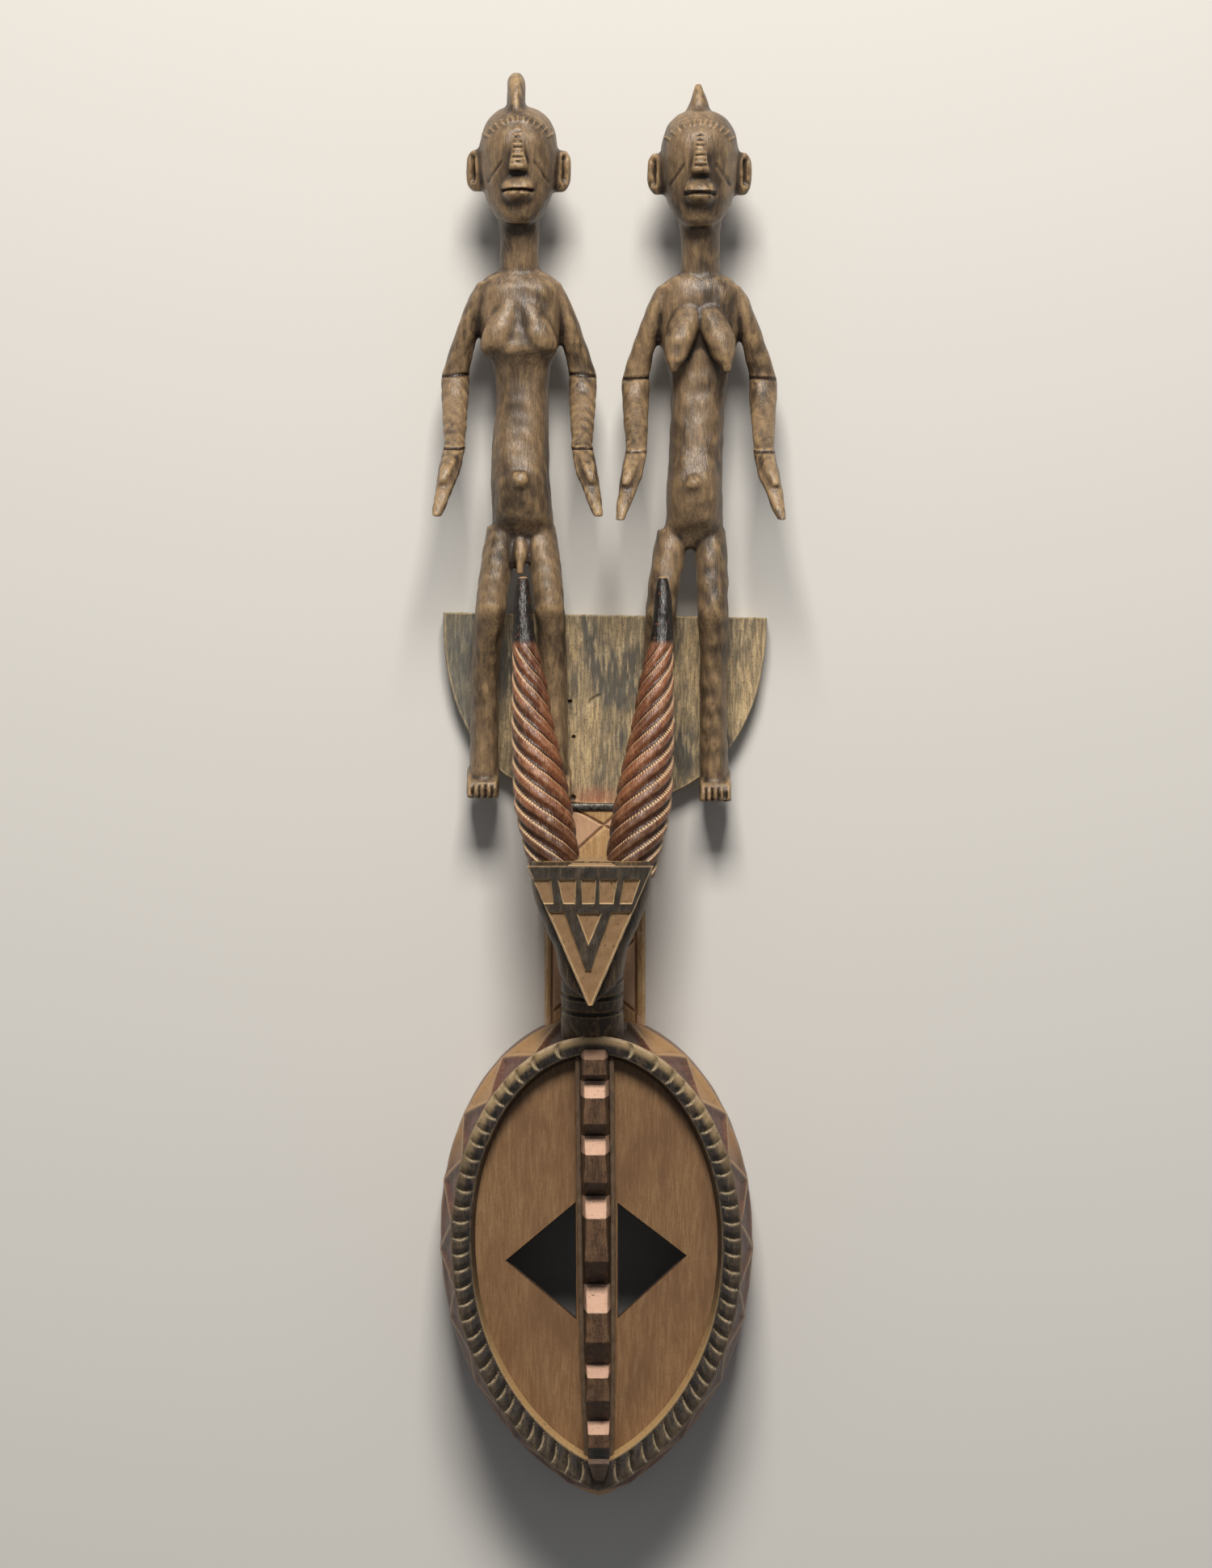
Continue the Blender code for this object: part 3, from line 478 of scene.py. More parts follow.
# The shade mark paints each notch's undercut side near black, partly dark patina and partly painted shade,
# and paints the bar's side walls dark as painted shade.
ridge_shade = []
for start, end, facet in ridge_stretches:
    steps = max(3, int(np.hypot(start[0] - end[0], start[1] - end[1]) / RIDGE_STEP))
    for share in np.linspace(0.025, 0.975, steps):
        y, z, half = np.array(start) * (1 - share) + np.array(end) * share
        base = ridge_base(y) - 0.0011
        half = min(half, base - 0.0002)
        side_line = ((base, RIDGE_LOW), (base, PANEL_Z), ((base + half) / 2, (PANEL_Z + z) / 2),
                     (half, z - 0.0016), (half - 0.0005, z - 0.0004), (half - 0.0016, z), (half / 3, z))
        ring = [(mask_x(y) + x, y, height) for x, height in side_line]
        ring += [(mask_x(y) - x, y, height) for x, height in side_line[::-1]]
        ridge_rings.append(ring)
        ridge_facets.append([facet] * len(ring))
        beside = [1.0, 1.0, 1.0, 0.5, 0.0, 0.0, 0.0]
        ridge_shade.append([max(value, -facet) for value in beside + beside[::-1]])
ridge_forms = [loft(np.array(ridge_rings))]
for side in (-1, 1):
    rail_rings = []
    for y in np.linspace(RAIL_TOP, RAIL_FOOT, 240):
        x = mask_x(y) + side * ridge_base(y)
        rail_rings.append([(x + dx, y, z) for dx, z in RAIL])
    ridge_forms.append(loft(np.array(rail_rings)))
ridge_wood = patina("ridge_wood", rgb(104, 78, 58), rgb(52, 38, 30), rgb(160, 124, 92),
                    clouds=0.5, grain=0.5, streaks=0.2, specks=0.6, edge_wear_and_highlight=0.2, soot=0.6,
                    marks=(("rail", rgb(88, 76, 62), 0.9), ("shade", rgb(18, 14, 12), 1.0),
                           ("facet", rgb(216, 176, 152), 0.96)))
nose_ridge = new_piece("nose_ridge", ridge_forms, (ridge_wood,))
bar_count = sum(len(ring) for ring in ridge_rings)
facet_values = np.zeros(len(nose_ridge.data.vertices))
facet_values[:bar_count] = np.clip(np.ravel(ridge_facets), 0, 1)
shade_values = np.zeros(len(facet_values))
shade_values[:bar_count] = np.ravel(ridge_shade)
add_mark(nose_ridge, "facet", facet_values)
add_mark(nose_ridge, "shade", shade_values)
add_mark(nose_ridge, "rail", np.arange(len(facet_values)) >= bar_count)
roughen(nose_ridge, 0.012, 0.0005, 5)
mark_proudness(nose_ridge, 0.0009, 6)
soften(nose_ridge, 34)
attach(nose_ridge, "root")
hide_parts("wood_carving")

# Plank: the flat neck of the carving between the mask and the plate, scored along both edges and
# crossed by diagonal cuts, with ochre and pinkish paint worn thin between them.
PLANK_HALF = 0.0410
PLANK_FOOT = -0.1970
PLANK_TOP = -0.0157
PLANK_Z = 0.028
PLANK_SCORE = 0.0017
PLANK_SCORES = (((-0.0440, -0.200), (-0.0440, 0.0)), ((0.0243, -0.200), (0.0243, 0.0)),
                ((-0.0440, -0.0100), (0.0243, -0.0480)), ((0.0243, -0.0100), (-0.0440, -0.0720)),
                ((-0.0440, -0.0760), (0.0243, -0.1180)), ((0.0243, -0.0560), (-0.0440, -0.1180)),
                ((-0.0440, -0.1250), (0.0243, -0.1860)), ((0.0243, -0.1260), (-0.0440, -0.1860)))


def slab(x, y, z, back):
    """A closed block with a grid of heights for its front; rows run down, columns run right."""
    rows, columns = x.shape
    front = np.stack((x, y, z), -1).reshape(-1, 3)
    index = np.arange(rows * columns).reshape(rows, columns)
    loop = np.concatenate((index[0], index[1:, -1], index[-1, -2::-1], index[-2:0:-1, 0]))
    behind = front[loop] * (1, 1, 0) + (0, 0, back)
    last = rows * columns + np.arange(len(loop))
    quads = np.stack((index[:-1, :-1], index[1:, :-1], index[1:, 1:], index[:-1, 1:]), -1).reshape(-1, 4)
    walls = np.stack((loop, np.roll(loop, -1), np.roll(last, -1), last), -1)
    return np.concatenate((front, behind)), quads.tolist() + walls.tolist() + [last.tolist()]


def distance_to(x, y, start, end):
    """How far places lie from a straight line between two points."""
    start, end = np.array(start), np.array(end)
    along = end - start
    share = np.clip(((x - start[0]) * along[0] + (y - start[1]) * along[1]) / (along @ along), 0, 1)
    return np.hypot(x - start[0] - share * along[0], y - start[1] - share * along[1])


plank_x, plank_y = np.meshgrid(np.linspace(-PLANK_HALF, PLANK_HALF, 118) + PLANK_X,
                               np.linspace(PLANK_TOP, PLANK_FOOT, 260))
plank_edge = PLANK_HALF - np.abs(plank_x - PLANK_X)
plank_height = PLANK_Z - 0.0015 * (1 - smoothstep(plank_edge / 0.003))
plank_crossed = np.zeros(plank_x.shape)
for start, end in PLANK_SCORES:
    near_cut = 1 - smoothstep(distance_to(plank_x, plank_y, start, end) / PLANK_SCORE)
    plank_height = np.minimum(plank_height, PLANK_Z - PLANK_SCORE * near_cut)
    side_of = (plank_x - start[0]) * (end[1] - start[1]) - (plank_y - start[1]) * (end[0] - start[0])
    plank_crossed += side_of > 0
plank_wood = patina("plank_wood", rgb(190, 150, 102), rgb(120, 86, 58), rgb(222, 190, 146),
                    clouds=0.3, grain=0.4, streaks=0.3, specks=0.3, edge_wear_and_highlight=0.5, soot=0.95,
                    marks=(("pink", rgb(198, 158, 128), 0.75),))
plank = new_piece("plank", [slab(plank_x, plank_y, plank_height, 0.0)], (plank_wood,))
pink = np.zeros(len(plank.data.vertices))
pink[:plank_x.size] = np.ravel(plank_crossed % 2)
add_mark(plank, "pink", pink)
roughen(plank, 0.020, 0.0005, 7)
mark_proudness(plank, 0.0009, 8)
soften(plank, 40)
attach(plank, "root")
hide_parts("wood_carving")

# Half-round plate: the platform under the figures, an adzed slab with a flat top edge. Its face is
# streaked grey and tan, with a chipped lower left edge, a gouge, two pin holes and a broken one.
PLATE_X = -0.0007
PLATE_TOP = 0.138
PLATE_HALF = 0.132
PLATE_HEIGHT = 0.155
PLATE_Z = 0.022
PLATE_TILT = math.radians(-0.93)
PLATE_ROUND = 2 / 2.3
PLATE_POINTS = 640
PLATE_HOLES = ((-0.0298, 0.0670, 0.0017), (-0.0263, 0.0384, 0.0014), (-0.0272, -0.0114, 0.0030))
PLATE_GOUGE = ((-0.0135, 0.0660), (-0.0060, 0.0720))
PLATE_CHIP = (-0.0840, 0.0080)


def plate_outline(inset):
    """The flat top edge and the rounded lower edge, drawn in by an inset."""
    angle = np.linspace(0, math.pi, PLATE_POINTS * 3 // 5)
    x = (PLATE_HALF - inset) * np.sign(np.cos(angle)) * np.abs(np.cos(angle)) ** PLATE_ROUND
    y = -inset - (PLATE_HEIGHT - 2 * inset) * np.sin(angle) ** PLATE_ROUND
    reach = np.concatenate(([0], np.cumsum(np.hypot(np.diff(x), np.diff(y)))))
    even = np.linspace(0, reach[-1], len(angle))
    lower = np.stack((np.interp(even, reach, x), np.interp(even, reach, y)), 1)
    top = np.linspace(lower[-1], lower[0], PLATE_POINTS - len(lower) + 2)[1:-1]
    outline = np.concatenate((lower, top))
    cosine = math.cos(PLATE_TILT)
    sine = math.sin(PLATE_TILT)
    return outline @ np.array(((cosine, sine), (-sine, cosine))) + (PLATE_X, PLATE_TOP)


def flat_ring(outline, z):
    return np.column_stack((outline, np.broadcast_to(z, len(outline))))


plate_rings = [flat_ring(plate_outline(0.0), 0.0), flat_ring(plate_outline(0.0), 0.010),
               flat_ring(plate_outline(0.0), PLATE_Z - 0.0030),
               flat_ring(plate_outline(0.0004), PLATE_Z - 0.0010)]
plate_edge = plate_outline(0.0012)
plate_centre = np.array((PLATE_X, PLATE_TOP - PLATE_HEIGHT * 0.42))
for share in np.linspace(1, 0.02, 88):
    outline = plate_centre + (plate_edge - plate_centre) * share
    x, y = outline.T
    sunk = 0.0012 * smoothstep(1 - np.hypot(x - PLATE_CHIP[0], (y - PLATE_CHIP[1]) / 1.6) / 0.009)
    sunk += 0.0014 * smoothstep(1 - distance_to(x, y, *PLATE_GOUGE) / 0.0022)
    for hole_x, hole_y, radius in PLATE_HOLES:
        sunk += 0.0040 * smoothstep(2 * (1 - np.hypot(x - hole_x, y - hole_y) / radius))
    plate_rings.append(flat_ring(outline, PLATE_Z - sunk))
plate_wood = patina("plate_wood", rgb(190, 164, 124), rgb(92, 88, 80), rgb(222, 196, 150),
                    clouds=0.95, grain=0.6, streaks=0.6, specks=0.5, edge_wear_and_highlight=0.4, soot=0.8,
                    marks=(("red", rgb(168, 100, 78), 0.6), ("grey", rgb(104, 104, 98), 0.7)),
                    roughness=0.55, relief=0.8)
plate = new_piece("half_round_plate", [loft(np.array(plate_rings))], (plate_wood,))
plate_points = read_points(plate) - STEP
from_patch = np.hypot((plate_points[:, 0] + 0.010) / 2, plate_points[:, 1] + 0.012)
add_mark(plate, "red", smoothstep(1 - from_patch / 0.016))
add_mark(plate, "grey", smoothstep((-plate_points[:, 0] - 0.096) / 0.016))
roughen(plate, 0.016, 0.0007, 9)
mark_proudness(plate, 0.0009, 8)
soften(plate, 40)
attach(plate, "root")
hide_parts("wood_carving")

# Cross strap: a narrow strip of dull grey metal across the plank under the plate, finely ribbed
# along its length and pressed flat at its edges. No nail or pin shows where it is held.
STRAP_RIBS = 60
strap_front = strap_high[2]
strap_back = strap_low[2]
strap_foot = strap_low[1]
strap_top = strap_high[1]
strap_rings = []
for share in np.linspace(0, 1, STRAP_RIBS * 4 + 1):
    x = strap_low[0] + (strap_high[0] - strap_low[0]) * share
    rib = 0.0002 * (1 - math.cos(share * STRAP_RIBS * 2 * math.pi)) / 2
    section = ((strap_foot, strap_back), (strap_foot, strap_front - 0.0011),
               (strap_foot + 0.0008, strap_front - 0.0006), (strap_foot + 0.0012, strap_front - rib),
               (strap_top - 0.0008, strap_front - rib), (strap_top - 0.0004, strap_front - 0.0006),
               (strap_top, strap_back))
    strap_rings.append([(x, y, z) for y, z in section])
metal = bpy.data.materials.new("grey_metal")
metal.use_nodes = True
metal_shader = metal.node_tree.nodes["Principled BSDF"]
metal_colour = over(metal, rgb(116, 112, 106), rgb(58, 55, 52), spots(metal, 0.0030, 0.40, 0.65))
metal.node_tree.links.new(metal_colour, metal_shader.inputs["Base Color"])
metal_shader.inputs["Metallic"].default_value = 0.8
metal_shader.inputs["Roughness"].default_value = 0.45
strap = new_piece("metal_strap", [loft(np.array(strap_rings) - STEP)], (metal,))
soften(strap, 50)
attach(strap, "root")
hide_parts("cross_strap")

# Antelope face: the flat front of a head of the same wood, a triangle cut with five cells, a sunk
# band and a small sunk triangle, their floors scraped to tan below the black surface. A small pale
# ledge slopes back from its top edge between the horns.
PLAQUE_X = -0.0125
PLAQUE_TOP = -0.0645
PLAQUE_HEIGHT = 0.1105
PLAQUE_HALF = 0.0500
PLAQUE_Z = 0.175
PLAQUE_SUNK = 0.0026
PLAQUE_TIP = 0.0018
PLAQUE_THICK = 0.014
CELL_TOP = -0.0755
CELL_FOOT = -0.0945
CELL_EDGES = (((-0.0457, -0.0312), (-0.0382, -0.0290)), ((-0.0253, -0.0112), (-0.0212, -0.0120)),
              ((-0.0068, 0.0046), (-0.0062, 0.0034)), ((0.0078, 0.0214), (0.0074, 0.0182)),
              ((0.0268, 0.0395), (0.0236, 0.0330)))
BAND_TOP = -0.1012
BAND_V = ((-0.0240, BAND_TOP + 0.01), (0.0205, BAND_TOP + 0.01), (0.0008, -0.1468), (-0.0040, -0.1468))
SMALL_V = ((-0.0105, BAND_TOP - 0.0010), (0.0090, BAND_TOP - 0.0010), (-0.0014, -0.1272))
LEDGE_X = -0.0112
LEDGE_BACK = 0.125
LEDGE = ((-0.0662, 0.168, 0.0215), (-0.0640, 0.167, 0.0205), (-0.0610, 0.160, 0.0150),
         (-0.0588, 0.148, 0.0095))


def inside(x, y, corners):
    """How deep places lie inside a convex outline; below zero outside it."""
    corners = np.array(corners)
    middle = corners.mean(0)
    depth = np.full(x.shape, np.inf)
    for start, end in zip(corners, np.roll(corners, -1, 0)):
        along = (end - start) / np.hypot(*(end - start))
        normal = np.array((-along[1], along[0]))
        normal = normal * np.sign((middle - start) @ normal)
        depth = np.minimum(depth, (x - start[0]) * normal[0] + (y - start[1]) * normal[1])
    return depth


def on_face(*corners):
    """Corners that are given from the face's middle line."""
    return [(PLAQUE_X + across, y) for across, y in corners]


plaque_drop = np.linspace(0, 1, 230)[:, None]
plaque_half = PLAQUE_HALF * (1 - plaque_drop) + PLAQUE_TIP * plaque_drop
plaque_x = PLAQUE_X + plaque_half * np.linspace(-1, 1, 190)[None, :]
plaque_y = np.broadcast_to(PLAQUE_TOP - PLAQUE_HEIGHT * plaque_drop, plaque_x.shape)
edge_run = (PLAQUE_HALF - PLAQUE_TIP) / PLAQUE_HEIGHT
slanted = PLAQUE_HALF - (PLAQUE_TOP - plaque_y) * edge_run - np.abs(plaque_x - PLAQUE_X)
slanted = slanted / math.hypot(1, edge_run)
top_gap = PLAQUE_TOP - plaque_y
sunk_in = np.full(plaque_x.shape, -1.0)
for top_edge, foot_edge in CELL_EDGES:
    cell = on_face((top_edge[0], CELL_TOP), (top_edge[1], CELL_TOP), (foot_edge[1], CELL_FOOT),
                   (foot_edge[0], CELL_FOOT))
    sunk_in = np.maximum(sunk_in, inside(plaque_x, plaque_y, cell))
band = np.minimum(slanted - 0.0012, BAND_TOP - plaque_y)
raised = inside(plaque_x, plaque_y, on_face(*BAND_V))
sunk_in = np.maximum(sunk_in, np.minimum(band, -raised))
sunk_in = np.maximum(sunk_in, inside(plaque_x, plaque_y, on_face(*SMALL_V)))
plaque_height = PLAQUE_Z - PLAQUE_SUNK * smoothstep(sunk_in / 0.0014 + 0.3)
plaque_height = plaque_height - 0.0008 * smoothstep(1 - slanted / 0.0008)
plaque_height = plaque_height - 0.0015 * smoothstep(1 - top_gap / 0.0012)
plaque_tan = np.maximum(smoothstep(sunk_in / 0.0008 + 0.4),
                        smoothstep(1 - slanted / 0.0014) * (plaque_y < BAND_TOP))
plaque_tan = np.maximum(plaque_tan, smoothstep(1 - top_gap / 0.0010))
head_wood = patina("head_wood", rgb(62, 54, 44), rgb(28, 24, 20), rgb(160, 130, 94),
                   clouds=0.5, grain=0.3, streaks=0.12, specks=0.5, edge_wear_and_highlight=0.3, soot=0.5,
                   marks=(("tan", rgb(146, 114, 80), 0.85), ("edge", rgb(222, 192, 148), 0.85)))
ledge_rings = [[(LEDGE_X - half, y, LEDGE_BACK), (LEDGE_X + half, y, LEDGE_BACK),
                (LEDGE_X + half * 0.9, y, z), (LEDGE_X - half * 0.9, y, z)] for y, z, half in LEDGE]
plaque = new_piece("antelope_face", [slab(plaque_x, plaque_y, plaque_height, PLAQUE_Z - PLAQUE_THICK),
                                     loft(np.array(ledge_rings))], (head_wood,))
plaque_edge = np.maximum(1 - smoothstep(np.abs(sunk_in - 0.0004) / 0.0007),
                         smoothstep(1 - slanted / 0.0013))
for mark_name, values, on_ledge in (("tan", plaque_tan, 1.0), ("edge", plaque_edge, 0.3)):
    stored = np.zeros(len(plaque.data.vertices))
    stored[:plaque_x.size] = values.ravel()
    stored[-4 * len(LEDGE):] = on_ledge
    add_mark(plaque, mark_name, stored)
roughen(plaque, 0.010, 0.0004, 13)
mark_proudness(plaque, 0.0008, 6)
soften(plaque, 40)
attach(plaque, "root")
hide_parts("wood_carving")

# Antelope head and neck: a wedge behind the face, and the round neck that slopes back from it down
# to the mask's forehead, with three gouged rings. Both are of the same wood, left dark.
HEAD_X = -0.0105
HEAD_SHIFT = -0.0012
HEAD_TOP = -0.064
HEAD_BACK = 0.105
HEAD_LAP = 0.012
HEAD_LINE = ((-0.003, 0.0475, 1.0), (0.010, 0.0480, 1.0), (0.030, 0.0445, 0.99), (0.056, 0.0342, 0.96),
             (0.068, 0.0286, 0.92), (0.086, 0.0254, 0.78), (0.096, 0.0190, 0.50), (0.104, 0.0090, 0.25),
             (0.110, 0.0020, 0.10))
HEAD_SIDES = 96
NECK_TOP = (-0.1350, 0.1320)
NECK_FOOT = (-0.2060, 0.0880)
NECK_RADIUS = 0.0252
NECK_FLAT = 0.86
NECK_SHIFT = -0.0005
NECK_TURN = 0.005
NECK_STEPS = 110
NECK_GROOVES = (0.28, 0.452, 0.627)
GROOVE_DEPTH = 0.0036
GROOVE_HALF = 0.034


def curve_through(stations, fine):
    """Even steps along a smooth curve through rows of numbers."""
    rows = np.array(stations, dtype=float)
    padded = np.concatenate((2 * rows[:1] - rows[1:2], rows, 2 * rows[-1:] - rows[-2:-1]))
    result = []
    for before, start, end, after in zip(padded, padded[1:], padded[2:], padded[3:]):
        square = 2 * before - 5 * start + 4 * end - after
        cube = 3 * start - before - 3 * end + after
        for t in np.arange(fine) / fine:
            result.append(0.5 * (2 * start + (end - before) * t + square * t ** 2 + cube * t ** 3))
    result.append(rows[-1])
    return np.array(result)


head_depth = (PLAQUE_Z - HEAD_LAP - HEAD_BACK) / 2
drop, half, squeeze = curve_through(HEAD_LINE, 10).T
round_angle = np.linspace(0, 2 * math.pi, HEAD_SIDES, endpoint=False)
boxy = 2 / 3.5
cosine = np.sign(np.cos(round_angle)) * np.abs(np.cos(round_angle)) ** boxy
sine = np.sign(np.sin(round_angle)) * np.abs(np.sin(round_angle)) ** boxy
head_z = (HEAD_BACK + head_depth + (head_depth * (1 - squeeze))[:, None]
          + (head_depth * squeeze)[:, None] * sine)
head_rings = np.stack((HEAD_X + HEAD_SHIFT + half[:, None] * cosine,
                       np.broadcast_to(HEAD_TOP - drop[:, None], head_z.shape), head_z), -1)
along = np.linspace(0, 1, NECK_STEPS)
neck_radius = np.full(NECK_STEPS, NECK_RADIUS)
for groove in NECK_GROOVES:
    neck_radius -= GROOVE_DEPTH * np.clip(1 - np.abs(along - groove) / GROOVE_HALF, 0, 1) ** 1.5
neck_x = HEAD_X + NECK_SHIFT + neck_radius[:, None] * np.cos(round_angle)
neck_y = (NECK_TOP[0] + (NECK_FOOT[0] - NECK_TOP[0]) * along)[:, None] - NECK_TURN * np.sin(round_angle)
neck_z = (NECK_TOP[1] + (NECK_FOOT[1] - NECK_TOP[1]) * along)[:, None]
neck_z = neck_z + (neck_radius * NECK_FLAT)[:, None] * np.sin(round_angle)
neck_rings = np.stack((neck_x, neck_y, neck_z), -1)
# On the neck the pale edges and dark hollows are strong: its ring grooves are painted dark as shade and their
# crests pale as highlight.
neck_wood = patina("neck_wood", rgb(74, 60, 46), rgb(26, 21, 18), rgb(176, 144, 100),
                   clouds=0.5, grain=0.3, streaks=0.25, specks=0.3, edge_wear_and_highlight=0.6, soot=1.0)
head = new_piece("antelope_head", [loft(head_rings), loft(neck_rings)], (neck_wood,))
roughen(head, 0.015, 0.0006, 15)
mark_proudness(head, 0.0009, 8)
soften(head, 40)
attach(head, "root")
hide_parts("wood_carving")

# Horns: two tapering horns of the same wood that lean back to the figures' thighs. Six rounded
# bands wind round each, the left one's leaning left and the right one's right, parted by grooves
# whose upper walls are worn pale and whose floors are painted dark as shade. The tips are smooth
# and black.
HORN_BASE_Z = 0.132
HORN_TIP_Z = 0.084
HORN_BANDS = 6
HORN_PITCH = 0.100
HORN_DEPTH = 0.14
HORN_SIDES = 200
TWIST_END = 0.112
CHIP_Y = 0.1650
DUSK_Y = -0.012
HORN_LINE = ((-0.0750, 0.0290, 0.0205), (-0.0496, 0.0335, 0.0224), (-0.0168, 0.0398, 0.0234),
             (0.0161, 0.0441, 0.0208), (0.0492, 0.0484, 0.0173), (0.0823, 0.0510, 0.0142),
             (0.1155, 0.0550, 0.0097), (0.1400, 0.0562, 0.0077), (0.1580, 0.0562, 0.0057),
             (0.1655, 0.0562, 0.0038), (0.1668, 0.0562, 0.0018))
horn_wood = patina("horn_wood", rgb(146, 92, 62), rgb(72, 42, 30), rgb(200, 156, 120),
                   clouds=0.7, grain=0.4, streaks=0.3, specks=0.5, edge_wear_and_highlight=0.25, soot=0.5,
                   marks=(("dusky", rgb(66, 44, 32), 0.8), ("groove", rgb(34, 21, 15), 0.95),
                          ("black", rgb(30, 26, 23), 1.0), ("lip", rgb(236, 204, 160), 1.0),
                          ("chip", rgb(198, 160, 120), 0.8)), roughness=0.36)
for name, side in (("horn_left", -1), ("horn_right", 1)):
    y, offset, radius = curve_through(HORN_LINE, 22).T
    angle = np.linspace(0, 2 * math.pi, HORN_SIDES, endpoint=False)
    turned = side * HORN_BANDS * ((y - y[0]) / HORN_PITCH)[:, None]
    band_phase = (angle / (2 * math.pi) * HORN_BANDS + turned) % 1
    if side < 0:
        band_phase = 1 - band_phase
    twisted = (1 - smoothstep((y - TWIST_END + 0.008) / 0.012))[:, None]
    crown = smoothstep(band_phase / 0.30) * (1 - smoothstep((band_phase - 0.72) / 0.10))
    crown *= 0.85 + 0.15 * np.sin(np.clip(band_phase / 0.74, 0, 1) * math.pi)
    reach = radius[:, None] * (1 - HORN_DEPTH * (1 - crown) * twisted)
    z = HORN_BASE_Z + (HORN_TIP_Z - HORN_BASE_Z) * ((y - y[0]) / (y[-1] - y[0]))
    rows_y = np.broadcast_to(y[:, None], reach.shape)
    rings = np.stack((HEAD_X + side * offset[:, None] + reach * np.cos(angle), rows_y,
                      z[:, None] + reach * np.sin(angle)), -1)
    horn = new_piece(name, [loft(rings)], (horn_wood,))
    lip_share = np.clip(1.5 - np.abs(band_phase - 0.735) / 0.030, 0, 1)
    add_mark(horn, "lip", lip_share * twisted)
    groove_painted_shade = smoothstep((band_phase - 0.75) / 0.04) * (1 - smoothstep((band_phase - 0.95) / 0.05))
    add_mark(horn, "groove", groove_painted_shade * twisted)
    add_mark(horn, "black", smoothstep((rows_y - TWIST_END + 0.002) / 0.006))
    add_mark(horn, "chip", smoothstep((rows_y - CHIP_Y) / 0.001))
    add_mark(horn, "dusky", smoothstep((DUSK_Y - rows_y) / 0.055))
    roughen(horn, 0.012, 0.0005, 17 + side)
    mark_proudness(horn, 0.0009, 8)
    soften(horn, 45)
    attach(horn, "root")
    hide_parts("wood_carving")

# Man: a standing figure carved in the round out of the same wood, with long arms held clear of the
# body and flat hands. Its forms are laid out on a grid of 900 parts to its height, as stations of
# height, side, distance out, half width and half depth, and the skin over them is then scored.
GRID = 0.5875 / 900
PLATE_OUT = 34
LIMB = 2.2
LEAN_TOP = 600
LEAN_SPAN = 370
SPLAY_TOP = 330
SPLAY_SPAN = 180
FOOT_X = 41
FOOT_HALF = 20
TOES = 5
SKIN_STEP = 0.00165
MAN_FEET = (-0.0705, -0.0118)
MAN_LEAN = 4
MAN_SPLAY = (-8, 0)
MAN_TRUNK = ((654, 1, 78, 27, 28), (646, 1, 78, 42, 34), (630, 2, 78, 52, 42), (600, 2, 77, 54, 46),
             (572, 2, 78, 50, 50), (554, 2, 80, 45, 50), (542, 3, 78, 38, 44), (528, 3, 76, 35, 38),
             (495, 3, 76, 33, 38), (428, 0, 80, 36, 44), (388, 0, 82, 37, 50), (352, 2, 80, 38, 46),
             (333, 3, 75, 38, 36), (316, 3, 71, 32, 26))
MAN_CREST = ((840, -3, 96, 12, 44), (868, -3, 96, 12, 36), (888, -3, 96, 11, 24), (898, -3, 96, 5, 9))
NECK = ((640, 1, 80, 28, 30), (665, 1, 84, 25, 27), (700, 1, 92, 25, 27), (724, 0, 98, 28, 34))
HEAD = ((708, 0, 122, 15, 20), (717, 0, 114, 28, 36), (738, 0, 106, 39, 50), (762, 0, 100, 46, 61),
        (788, 0, 98, 49, 66), (812, 0, 98, 48, 65), (835, 0, 96, 41, 55), (850, 0, 94, 27, 38),
        (857, 0, 92, 10, 15))
NOSE = ((770, 0, 160, 12, 14), (776, 0, 162, 12, 16), (800, 0, 158, 8, 14), (828, 0, 146, 5, 11))
BROW = ((808, 0, 132, 36, 21), (818, 0, 137, 34, 23), (828, 0, 132, 26, 20))
MOUTH = ((768, 0, 146, 14, 12), (757, 0, 150, 20, 19), (747, 0, 152, 20, 21), (738, 0, 150, 19, 18),
         (730, 0, 144, 13, 12))
EAR = ((750, 51, 96, 6, 8), (762, 52, 96, 12, 14), (790, 53, 98, 12, 15), (802, 52, 98, 7, 9))
LEG = ((338, 22, 74, 21, 30), (292, 28, 88, 21, 26), (246, 33, 98, 20, 24), (232, 34, 99, 20, 24),
       (212, 36, 88, 19, 26), (172, 38, 72, 18, 29), (92, 39, 61, 18, 29), (20, 40, 57, 18, 28))
ARM = ((640, 34, 80, 18, 24), (622, 45, 79, 17, 24), (600, 56, 78, 15, 22), (572, 66, 75, 15, 20),
       (534, 77, 68, 17, 19), (516, 79, 72, 18, 19), (490, 79, 88, 17, 18), (430, 78, 142, 13, 15))
HAND = ((434, 78, 140, 14, 14), (402, 84, 160, 14, 15), (387, 88, 168, 12, 15), (360, 95, 184, 9, 13),
        (344, 99, 194, 6, 9))
THUMB = ((426, 82, 154, 9, 9), (405, 87, 172, 9, 10), (387, 92, 184, 5, 6))
PEC = ((634, 3, 106, 6, 8), (605, 14, 110, 15, 15), (576, 23, 113, 22, 19), (556, 27, 111, 21, 18),
       (545, 27, 105, 13, 10))
LOINS = ((322, 2, 96, 9, 10), (300, 2, 104, 8, 10), (276, 2, 106, 5, 8))
NAVEL = ((402, 0, 126, 10, 10), (391, 0, 130, 11, 12), (382, 0, 126, 9, 10))
FACE_SCORES = [((-19, 746), (19, 746), 3.2, 6.0, 130)]
for k in range(7):
    notch_up = 780 + k * 6.5
    notch_half = 3.5 + (822 - notch_up) * 0.11
    FACE_SCORES.append(((-notch_half, notch_up), (notch_half, notch_up), 2.0, 2.6, 148))
for k in range(-6, 7):
    brow_up = 836 - 0.52 * k * k
    FACE_SCORES.append(((k * 6.2, brow_up - 3), (k * 7.1, brow_up + 2), 2.4, -2.4, 100))
